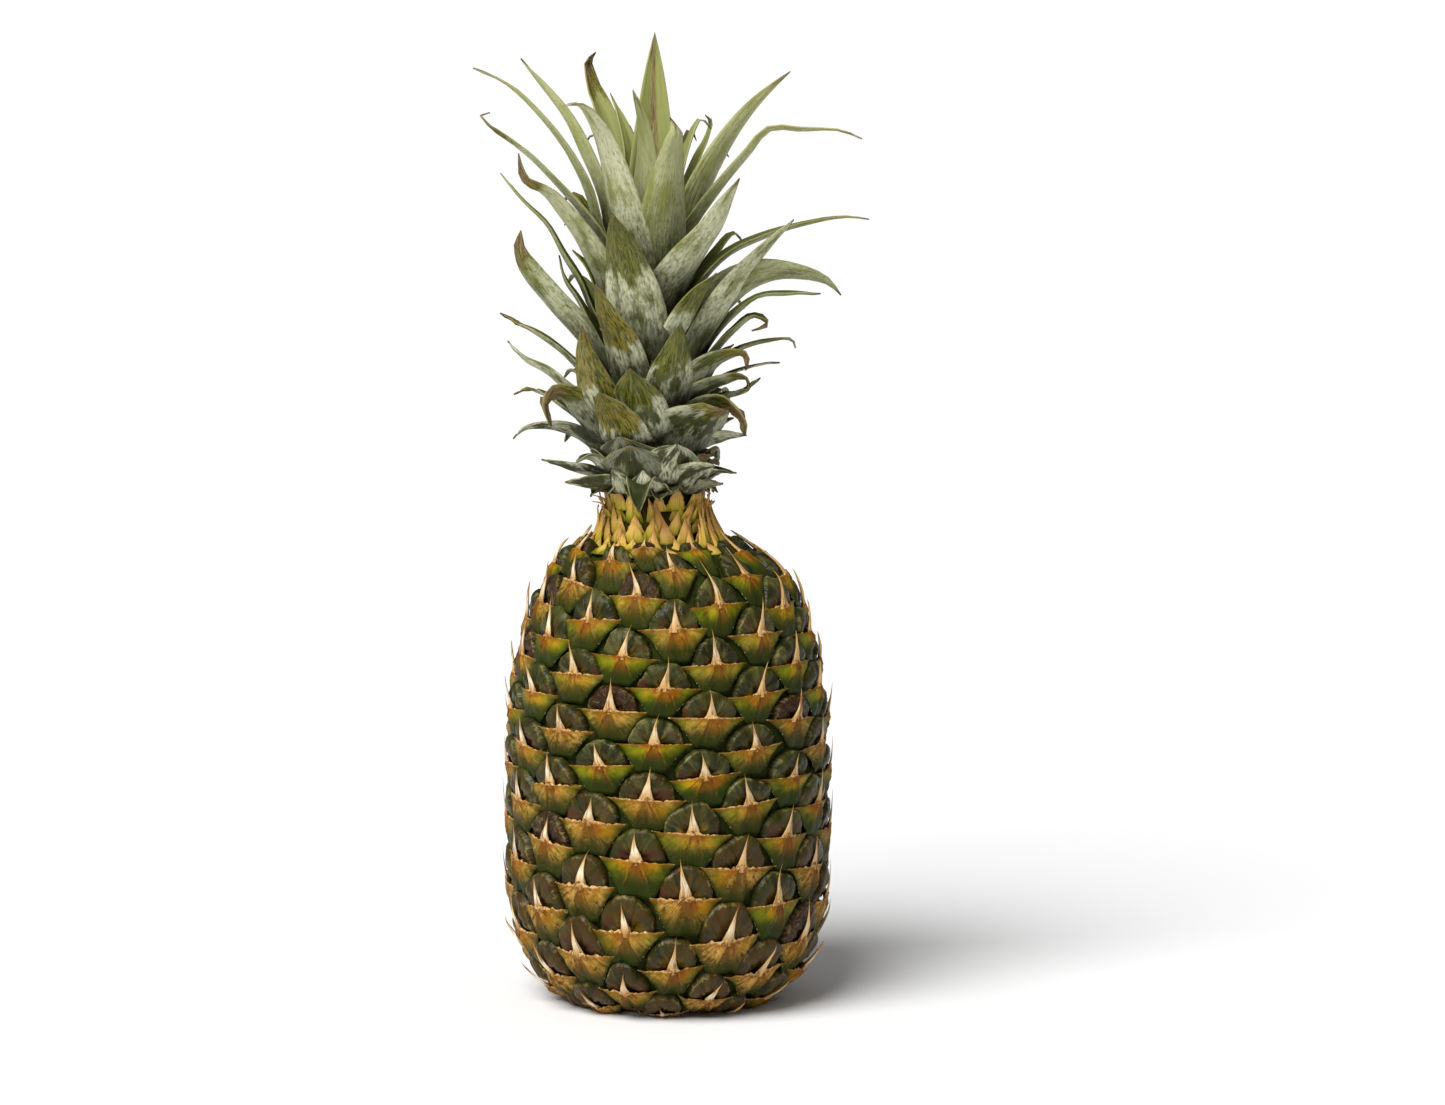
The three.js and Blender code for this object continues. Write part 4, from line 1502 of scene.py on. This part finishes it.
class Skin(Enum):
    """How the skin of a leaf has fared: bloom, where it turns olive and where it is dead, and how golden."""

    GREY = (0.95, 2.0, 0.975, 0.0)
    GREEN = (0.45, 2.0, 0.975, 0.0)
    OLIVE_END = (0.9, 0.62, 0.985, 0.1)
    GOLD_END = (0.9, 0.5, 0.97, 0.65)
    BROWN_END = (0.6, 0.8, 0.9, 0.5)
    DEAD_END = (0.6, 0.8, 0.87, 0.3)
    SPENT = (0.5, 0.6, 0.74, 0.3)
    DULL = (0.25, 2.0, 0.95, 0.0)
    STREAKED = (0.45, 2.0, 0.965, 2.0)


@dataclass(frozen=True)
class Leaf:
    """One leaf of the crown.

    Args:
        bearing: Degrees round the stem from the front.
        width: Its greatest width.
        twist: Degrees that it turns about its own rib.
        rib: Reach from the stem's axis and height of the rib's points after its root.
        skin: How its skin has fared.
        blunt: How long it stays broad, where that isn't as its width gives.
    """

    bearing: float
    width: float
    twist: float
    rib: tuple[Point, ...]
    skin: Skin = Skin.GREY
    blunt: float = 0.0

    @property
    def taper(self) -> float:
        """The power of the curve that its sides follow to the tip."""
        return self.blunt or 1.7 + self.width / 12


FRONT_LEAVES = (
    # the inner leaves, from the back round to the front
    Leaf(178, 20, 0, ((6, 282), (10, 309), (16, 331), (22, 356)), Skin.STREAKED),
    Leaf(-40, 18, 0, ((6, 283), (6, 296), (5, 314), (6, 323), (11, 336)), Skin.GREEN),
    Leaf(150, 9, 0, ((27, 301), (33, 309), (40, 316), (43, 322), (38, 325)), Skin.GREEN),
    Leaf(-150, 15, 0, ((23, 296), (30, 314), (37, 325), (47, 338), (49, 344), (42, 348)),
         Skin.BROWN_END, 3.8),
    Leaf(-150, 13, 0, ((14, 300), (17, 313), (23, 323), (32, 333)), Skin.GREEN),
    Leaf(16, 22, 0, ((8, 260), (13, 278), (20, 297), (29, 315), (33, 322), (24, 327)), Skin.GREEN, 2.7),
    Leaf(-42, 20, 0, ((15, 282), (19, 296), (24, 311), (31, 324), (39, 331), (47, 331)), Skin.GREY),
    # the long leaves to the left
    Leaf(-115, 15, 42, ((18, 280), (22, 297), (28, 311), (35, 324), (44, 335), (54, 346)), Skin.GREEN, 3.2),
    Leaf(-95, 11, 20, ((21, 286), (25, 300), (32, 313), (40, 324), (55, 338), (66, 343)), Skin.GREEN),
    Leaf(-80, 12, 0, ((22, 285), (29, 294), (37, 303), (46, 312), (54, 318), (61, 324), (63, 327), (59, 328)),
         Skin.BROWN_END),
    Leaf(-65, 18, 12, ((18, 260), (22, 269), (28, 280), (35, 290), (42, 298), (51, 304), (53, 314)),
         Skin.BROWN_END),
    Leaf(-95, 9, 0, ((23, 255), (27, 265), (33, 275), (39, 286), (47, 294), (56, 305)), Skin.GREEN),
    Leaf(-85, 12, 50, ((23, 241), (29, 250), (37, 259), (45, 269), (49, 277), (48, 285)), Skin.DEAD_END, 8.0),
    Leaf(-100, 11, 0, ((23, 248), (28, 258), (33, 266), (35, 275)), Skin.GREEN),
    # the long leaves to the right
    Leaf(95, 15, -48, ((13, 281), (17, 295), (23, 308), (31, 321), (41, 333), (51, 342)), Skin.GREEN, 3.4),
    Leaf(78, 12, -10, ((13, 281), (20, 292), (36, 312), (44, 321), (55, 321), (70, 321), (78, 318)),
         Skin.GREEN),
    Leaf(100, 12, 0, ((18, 264), (29, 275), (42, 281), (59, 286), (73, 288), (81, 287)), Skin.GREEN),
    Leaf(65, 16, -20, ((13, 228), (19, 241), (28, 256), (37, 269), (47, 280), (57, 290)), Skin.GREY),
    Leaf(72, 19, -40, ((22, 254), (34, 265), (45, 269), (56, 269), (66, 267), (72, 262)), Skin.GREEN, 4.2),
    # the broad leaves in front
    Leaf(38, 21, 0, ((13, 263), (23, 274), (36, 286), (47, 300), (52, 306)), Skin.GREY),
    Leaf(-24, 25, 0, ((15, 242), (19, 257), (25, 273), (32, 287), (35, 293)), Skin.OLIVE_END),
    Leaf(-38, 20, 0, ((15, 229), (22, 246), (29, 257), (33, 267)), Skin.GOLD_END),
    Leaf(-46, 17, 28, ((24, 219), (30, 230), (34, 242), (35, 252)), Skin.GOLD_END),
    Leaf(40, 18, 0, ((12, 232), (17, 247), (26, 261), (37, 271)), Skin.OLIVE_END),
    Leaf(20, 20, 0, ((17, 222), (23, 233), (28, 245), (31, 253)), Skin.OLIVE_END),
    Leaf(-14, 25, 0, ((19, 209), (24, 223), (30, 232), (32, 237)), Skin.OLIVE_END),
    Leaf(-34, 25, 0, ((20, 206), (26, 217), (32, 225), (34, 228)), Skin.GOLD_END),
    # the short leaves to the left
    Leaf(-90, 11, 0, ((22, 228), (27, 233), (34, 240), (42, 246), (51, 251), (56, 254)), Skin.BROWN_END),
    Leaf(-78, 13, 10, ((21, 218), (31, 225), (40, 233), (49, 239), (54, 245)), Skin.GREY),
    Leaf(-100, 8, 0, ((23, 211), (33, 218), (40, 223), (46, 225), (52, 223)), Skin.DEAD_END),
    Leaf(-65, 16, 25, ((21, 208), (27, 216), (34, 224), (41, 224), (40, 214)), Skin.SPENT, 7.0),
    Leaf(-85, 13, 25, ((19, 202), (28, 209), (38, 212), (48, 211), (51, 208)), Skin.GREY),
    Leaf(-85, 11, 25, ((19, 194), (30, 197), (38, 199.5), (41, 200.5)), Skin.GREY),
    Leaf(-52, 18, 20, ((19, 189.6), (27, 192), (34, 193.5), (40, 194.5)), Skin.GREY),
    # the short leaves to the right
    Leaf(100, 11, 0, ((23, 244), (31, 253), (40, 259), (51, 260), (63, 260)), Skin.GREEN),
    Leaf(85, 13, 0, ((17, 230), (23, 239), (30, 247), (38, 253), (42, 251), (36, 248)), Skin.BROWN_END),
    Leaf(100, 9, 0, ((21, 232), (28, 237), (35, 241), (44, 243), (52, 243), (53, 240)), Skin.GREEN),
    Leaf(70, 18, -25, ((11, 222), (17, 229), (26, 237), (36, 239), (36, 234)), Skin.BROWN_END),
    Leaf(110, 8, 0, ((26, 228), (36, 232), (46, 234), (50, 234)), Skin.GREY),
    Leaf(80, 17, -25, ((8, 217), (18, 224), (27, 229), (35, 230), (35, 227)), Skin.BROWN_END),
    Leaf(95, 11, 0, ((14, 217), (25, 222), (34, 225), (40, 230)), Skin.DEAD_END),
    Leaf(70, 16, -25, ((11, 210), (19, 217), (27, 220), (32, 218), (36, 210)), Skin.SPENT, 9.0),
    Leaf(42, 29, -18, ((17, 203), (22, 211), (31, 217.5), (40, 221.5)), Skin.BROWN_END),
    Leaf(74, 16, -25, ((12, 200), (20, 206), (29, 209), (36, 210)), Skin.GREY),
    Leaf(75, 12, 0, ((14, 190), (23, 196), (32, 196)), Skin.GREY),
    Leaf(105, 11, 0, ((13, 193), (19, 197), (25, 199)), Skin.GREEN),
    # the lowest leaves in front
    Leaf(-24, 27, 0, ((20, 201), (26, 207), (28.5, 211.5)), Skin.DULL),
    Leaf(-16, 30, 0, ((20, 195), (25.5, 202), (29, 208.5)), Skin.DULL),
    Leaf(-32, 16, 10, ((19.5, 190.5), (24, 195), (27, 199)), Skin.GREY),
    Leaf(-7, 17, 0, ((19.5, 189.8), (24.5, 195), (26, 199.5)), Skin.GREY),
    Leaf(18, 26, -10, ((19.5, 194), (25, 202), (31, 209)), Skin.GREY),
    Leaf(36, 18, -15, ((18.5, 190.5), (25, 196), (33, 200), (39, 201.5)), Skin.GREY),
    Leaf(52, 14, -20, ((18.5, 189.2), (25, 192), (33, 193.5)), Skin.GREEN),
    Leaf(-10, 13, 0, ((18, 191.5), (23.5, 194), (26.5, 191.5), (26.5, 183.5)), Skin.GREEN),
)


class Rib:
    """A smooth line through the points of a leaf's rib."""

    def __init__(self, points: list[Point]) -> None:
        """Measures the line.

        Args:
            points: Reach and height of its points, from root to tip.
        """
        self.points = [Vector(p) for p in points]
        self.runs = [(b - a).length for a, b in zip(self.points, self.points[1:])]
        self.length = sum(self.runs)
        self.aims = self.directions()

    def directions(self) -> list[Vector]:
        """The way the line runs at each of its points.

        Returns:
            A direction for each point, from root to tip.
        """
        steps = [(b - a) / run for a, b, run in zip(self.points, self.points[1:], self.runs)]
        inner = [
            (before * d1 + after * d0) / (d0 + d1)
            for before, after, d0, d1 in zip(steps, steps[1:], self.runs, self.runs[1:])
        ]
        return [steps[0], *inner, steps[-1]]

    def at(self, share: float) -> tuple[Vector, Vector]:
        """A place on the line.

        Args:
            share: Its share of the line's length, from the root.

        Returns:
            The place, and the direction the line runs in there.
        """
        gone = share * self.length
        k = 0
        while k < len(self.runs) - 1 and gone > self.runs[k]:
            gone -= self.runs[k]
            k += 1
        run, t = self.runs[k], gone / self.runs[k]
        a, b, start, end = self.points[k], self.points[k + 1], self.aims[k] * run, self.aims[k + 1] * run
        square = 3 * (b - a) - 2 * start - end
        cubic = 2 * (a - b) + start + end
        spot = a + start * t + square * t**2 + cubic * t**3
        aim = start + 2 * square * t + 3 * cubic * t**2
        return spot, aim.normalized()


@dataclass
class Crown:
    """The crown: a tapering stem and the stiff cupped leaves rooted in it."""

    bottom: float = 187.8
    axis: float = -5.5  # X of the stem's axis
    stem: tuple[Point, ...] = (
        (16, 187.8),
        (17, 192.8),
        (16, 205),
        (13.5, 225),
        (9.5, 245),
        (5, 262),
        (0, 268),
    )
    lowest_root: float = 189.5
    root_rise: float = 0.38
    root_depth: float = 5.0
    wall: float = 0.55
    tip_share: float = 0.996  # of the rib's length, so that the tip's own thickness stays within it
    cup: float = 0.17
    grid: tuple[int, int] = (12, 26)
    back_leaves: int = 44
    back_from: float = 112.0
    golden_angle: float = 137.508
    lowest_leaves: int = 13
    sheath_leaves: int = 19
    back_tips: Point = (196, 330)
    back_reach: tuple[float, float, float] = (30, 52, 22)
    back_turn: float = 0.55
    back_sideways: float = 30.0
    back_hooked: float = 0.35  # the share of them whose tips hook down
    back_bow: tuple[Point, ...] = ((0.12, 0.22), (0.4, 0.55), (0.72, 0.85))
    steps: int = 32
    ripple: float = 0.9
    shrivel: float = 2.2

    def build(self) -> list[bpy.types.Object]:
        """Builds the crown's pieces and puts them in place of its plain solid.

        Returns:
            The pieces, the stem first.
        """
        stem = self.core()
        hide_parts("crown")
        groups = {"front_leaves": FRONT_LEAVES, "back_leaves": self.behind(), "short_leaves": self.lowest()}
        return [stem, *(self.leaves(name, leaves) for name, leaves in groups.items())]

    def core(self) -> bpy.types.Object:
        """The stem, seen only between the leaves.

        Returns:
            The piece.
        """
        mesh = PieceMesh()
        mesh.turned([(0.0, self.bottom), *self.stem], self.steps, self.axis)
        for corner in mesh.bm.verts:
            corner[mesh.look] = (0.0, 0.0, 2.0)
            corner[mesh.tone] = (0.4, 12.0, 0.0)
        return mesh.piece("crown_stem", [LeafSkin()], "leaves")

    def stem_radius(self, level: float) -> float:
        """How thick the stem is.

        Args:
            level: The height.

        Returns:
            Its radius at that height, 0 above its end.
        """
        for (r0, z0), (r1, z1) in zip(self.stem, self.stem[1:]):
            if z1 >= level:
                return mix(r0, r1, (level - z0) / (z1 - z0))
        return 0.0

    def behind(self) -> tuple[Leaf, ...]:
        """The leaves behind, which follow the golden angle, their tips rising to the tallest.

        Returns:
            The leaves, from the lowest up.
        """
        dice = Dice(23)
        low, middle, high = self.back_reach
        made = []
        for k in range(self.back_leaves):
            share = k / (self.back_leaves - 1)
            turn = (k * self.golden_angle % 360) / 360
            bearing = self.back_from + turn * (360 - 2 * self.back_from)
            tip = mix(*self.back_tips, share**1.1) + dice.between(-4, 4)
            if share < self.back_turn:
                longest = mix(low, middle, share / self.back_turn)
            else:
                longest = mix(middle, high, (share - self.back_turn) / (1 - self.back_turn))
            widest = self.back_sideways / abs(math.sin(math.radians(bearing)))
            reach = min(longest * dice.between(0.8, 1.1), widest)
            width = dice.between(13, 17)
            start = mix(self.lowest_root, self.stem[-1][1], share)
            inner = self.stem_radius(start) + 2
            rib = [(mix(inner, reach, a), mix(start, tip, b)) for a, b in self.back_bow]
            rib.append((reach, tip))
            if dice.roll() < self.back_hooked:
                rib.append((reach + 4, tip - 4))
            twist = dice.between(-12, 12)
            skin = (Skin.GREY, Skin.GREEN, Skin.OLIVE_END, Skin.GREY, Skin.BROWN_END, Skin.GREEN)[k % 6]
            made.append(Leaf(bearing, width, twist, tuple(rib), skin))
        return tuple(made)

    def lowest(self) -> tuple[Leaf, ...]:
        """The shortest leaves, a ring of them close round the foot of the crown.

        Returns:
            The leaves, those that stand out first and those that lie against the collar after them.
        """
        dice = Dice(5)
        made = []
        for k in range(self.lowest_leaves):
            bearing = mix(58, 302, (k + dice.between(0.2, 0.8)) / self.lowest_leaves)
            up, out = dice.between(-1, 6), dice.between(-2, 6)
            skin = (Skin.GREEN, Skin.GREY, Skin.SPENT)[int(dice.roll() * 2.4)]
            rib = ((19, 194 + up), (22.5 + out / 2, 198 + up), (25 + out, 199 + up - out / 2))
            made.append(Leaf(bearing, dice.between(13, 21), dice.between(-15, 15), rib, skin))
        for k in range(self.sheath_leaves):
            bearing = 360 * (k + dice.between(-0.35, 0.35)) / self.sheath_leaves
            up, out = dice.between(-1.0, 1.5), dice.between(-1.5, 2.5)
            rib = ((18.5, 189.6 + up * 0.3), (21 + out * 0.5, 190.6 + up), (23 + out, 188.4 + up))
            made.append(Leaf(bearing, dice.between(11, 15), dice.between(-15, 15), rib, Skin.DULL))
        return tuple(made)

    def leaves(self, name: str, leaves: tuple[Leaf, ...]) -> bpy.types.Object:
        """Builds a group of leaves as one piece.

        Args:
            name: The piece's name.
            leaves: Its leaves.

        Returns:
            The piece.
        """
        dice = Dice(31)
        mesh = PieceMesh()
        for leaf in leaves:
            rib = Rib([self.root(leaf), *leaf.rib])
            bloom, olive_from, dead_from, gold = leaf.skin.value
            chance, wave = dice.roll(), dice.between(0.3, 1.0)
            mesh.sheet(
                self.grid,
                lambda s, t, a=(leaf, rib, chance, wave): self.leaf_at(*a, s, t),
                (bloom * mix(0.85, 1.1, chance), olive_from, dead_from),
                (chance, leaf.width / 2, gold),
            )
        inner = LeafSkin(name="clear_leaf_face", deep="#363f10", green="#687025", bloom="#8b8d6b", chalk=0.45)
        return mesh.piece(name, [LeafSkin(), inner], "leaves", wall=self.wall)

    def root(self, leaf: Leaf) -> Point:
        """Where a leaf is rooted.

        Args:
            leaf: The leaf.

        Returns:
            Reach and height of its root, inside the stem.
        """
        tip = max(level for _, level in leaf.rib)
        level = min(self.lowest_root + (tip - self.lowest_root) * self.root_rise, leaf.rib[0][1] - 1)
        return (self.stem_radius(level) - self.root_depth, level)

    def leaf_at(self, leaf: Leaf, rib: Rib, chance: float, wave: float, side: float, share: float) -> Placed:
        """A corner of a leaf: cupped towards the stem, turned about its rib, and drawn out to a point.

        Args:
            leaf: The leaf.
            rib: The line through its rib.
            chance: A number of its own, 0 to 1.
            wave: How strongly it ripples.
            side: The corner's share across, -1 to 1.
            share: The corner's share along, 0 at the root.

        Returns:
            The place in mm, and the flat values that the finish reads there.
        """
        spot, ahead = rib.at(share * self.tip_share)
        inwards = Vector((-ahead.y, ahead.x))
        full = 0.86 + 0.14 * math.sin(math.pi * min(1.0, share * 1.4))
        half = leaf.width / 2 * full * (1 - share**leaf.taper)
        roll = math.radians(leaf.twist) * ease(share, 0, 0.5)
        ripple = noise.noise(Vector((share * 5 + chance * 40, side * 1.5, chance * 9)))
        lift = 2 * half * self.cup * (abs(side) ** 1.7 * 1.35 - 0.18)
        lift += ripple * wave * self.ripple * ease(share, 0.2, 0.7) * (1 - share**12)
        dead_from = leaf.skin.value[2]
        dead = ease(share, dead_from - 0.15, dead_from + 0.05)
        shrivel = noise.noise(Vector((share * 13, side * 1.8, chance * 31)))
        lift += dead * (1 - share**8) * self.shrivel * shrivel
        across = half * side * math.cos(roll) - lift * math.sin(roll)
        above = half * side * math.sin(roll) + lift * math.cos(roll)
        out, level = spot.x + inwards.x * above, spot.y + inwards.y * above
        turn = math.radians(leaf.bearing)
        x = across * math.cos(turn) + out * math.sin(turn) + self.axis
        y = across * math.sin(turn) - out * math.cos(turn)
        return Vector((x, y, level)), (side, share * rib.length, share)


# ---- studio ----


@dataclass
class Studio:
    """The pale paper floor that the fruit stands on, its soft lights and the camera."""

    target: tuple[float, float, float] = (20.1, 0.0, 165.9)
    distance: float = 2000.0
    elevation: float = 7.5
    lens: float = 135.7
    floor_size: float = 40.0  # metres, so that it reaches past the top of the view
    sky: float = 0.23
    key: float = 3.7
    key_spread: float = 38.0
    key_from: tuple[float, float, float] = (-0.55, -0.75, 1.15)

    def build(self) -> None:
        """Sets up the whole studio."""
        self.camera()
        self.paper()
        self.lights()

    def camera(self) -> None:
        """The camera, a little above the middle of the fruit and straight in front of it."""
        lens = bpy.data.cameras.new("camera")
        lens.lens, lens.sensor_width = self.lens, 36
        lens.clip_start, lens.clip_end = 0.05, 50
        camera = bpy.data.objects.new("camera", lens)
        down = math.radians(self.elevation)
        back = Vector((0, -math.cos(down), math.sin(down)))
        camera.location = (Vector(self.target) + back * self.distance) * MM
        camera.rotation_mode = "QUATERNION"
        camera.rotation_quaternion = (-back).to_track_quat("-Z", "Y")
        bpy.context.scene.collection.objects.link(camera)
        bpy.context.scene.camera = camera

    def paper(self) -> None:
        """A flat floor."""
        mesh = PieceMesh()
        bmesh.ops.create_grid(mesh.bm, x_segments=8, y_segments=8, size=self.floor_size)
        floor = bpy.data.objects.new("floor", bpy.data.meshes.new("floor"))
        mesh.bm.to_mesh(floor.data)
        mesh.bm.free()
        floor.data.materials.append(StudioPaper().made())
        bpy.context.scene.collection.objects.link(floor)

    def lights(self) -> None:
        """An even white surround, and one broad soft light from the front, above and to the left."""
        world = bpy.data.worlds.new("surround")
        world.use_nodes = True
        nodes, links = world.node_tree.nodes, world.node_tree.links
        surround = nodes["Background"]
        surround.inputs["Color"].default_value = (1, 1, 1, 1)
        # It lights the fruit dimly and is seen as white as the paper, so that no horizon shows.
        seen, level = nodes.new("ShaderNodeLightPath"), nodes.new("ShaderNodeMath")
        level.operation = "MULTIPLY_ADD"
        level.inputs[1].default_value, level.inputs[2].default_value = 1.0 - self.sky, self.sky
        links.new(seen.outputs["Is Camera Ray"], level.inputs[0])
        links.new(level.outputs[0], surround.inputs["Strength"])
        bpy.context.scene.world = world
        light = bpy.data.lights.new("key_light", "SUN")
        light.energy, light.angle = self.key, math.radians(self.key_spread)
        lamp = bpy.data.objects.new("key_light", light)
        lamp.rotation_mode = "QUATERNION"
        lamp.rotation_quaternion = (-Vector(self.key_from)).to_track_quat("-Z", "Y")
        bpy.context.scene.collection.objects.link(lamp)


def main() -> None:
    """Builds the studio and the pineapple."""
    logging.basicConfig(level=logging.INFO, format="%(name)s: %(message)s")
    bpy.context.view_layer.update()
    bpy.context.scene.view_settings.view_transform = "Standard"
    Studio().build()
    for part in (Fruit(EyeSpiral(FruitSkin())), Collar(), Crown()):
        for piece in part.build():
            log.info("%s is in place", piece.name)
    bpy.context.view_layer.update()


if __name__ == "__main__":
    main()
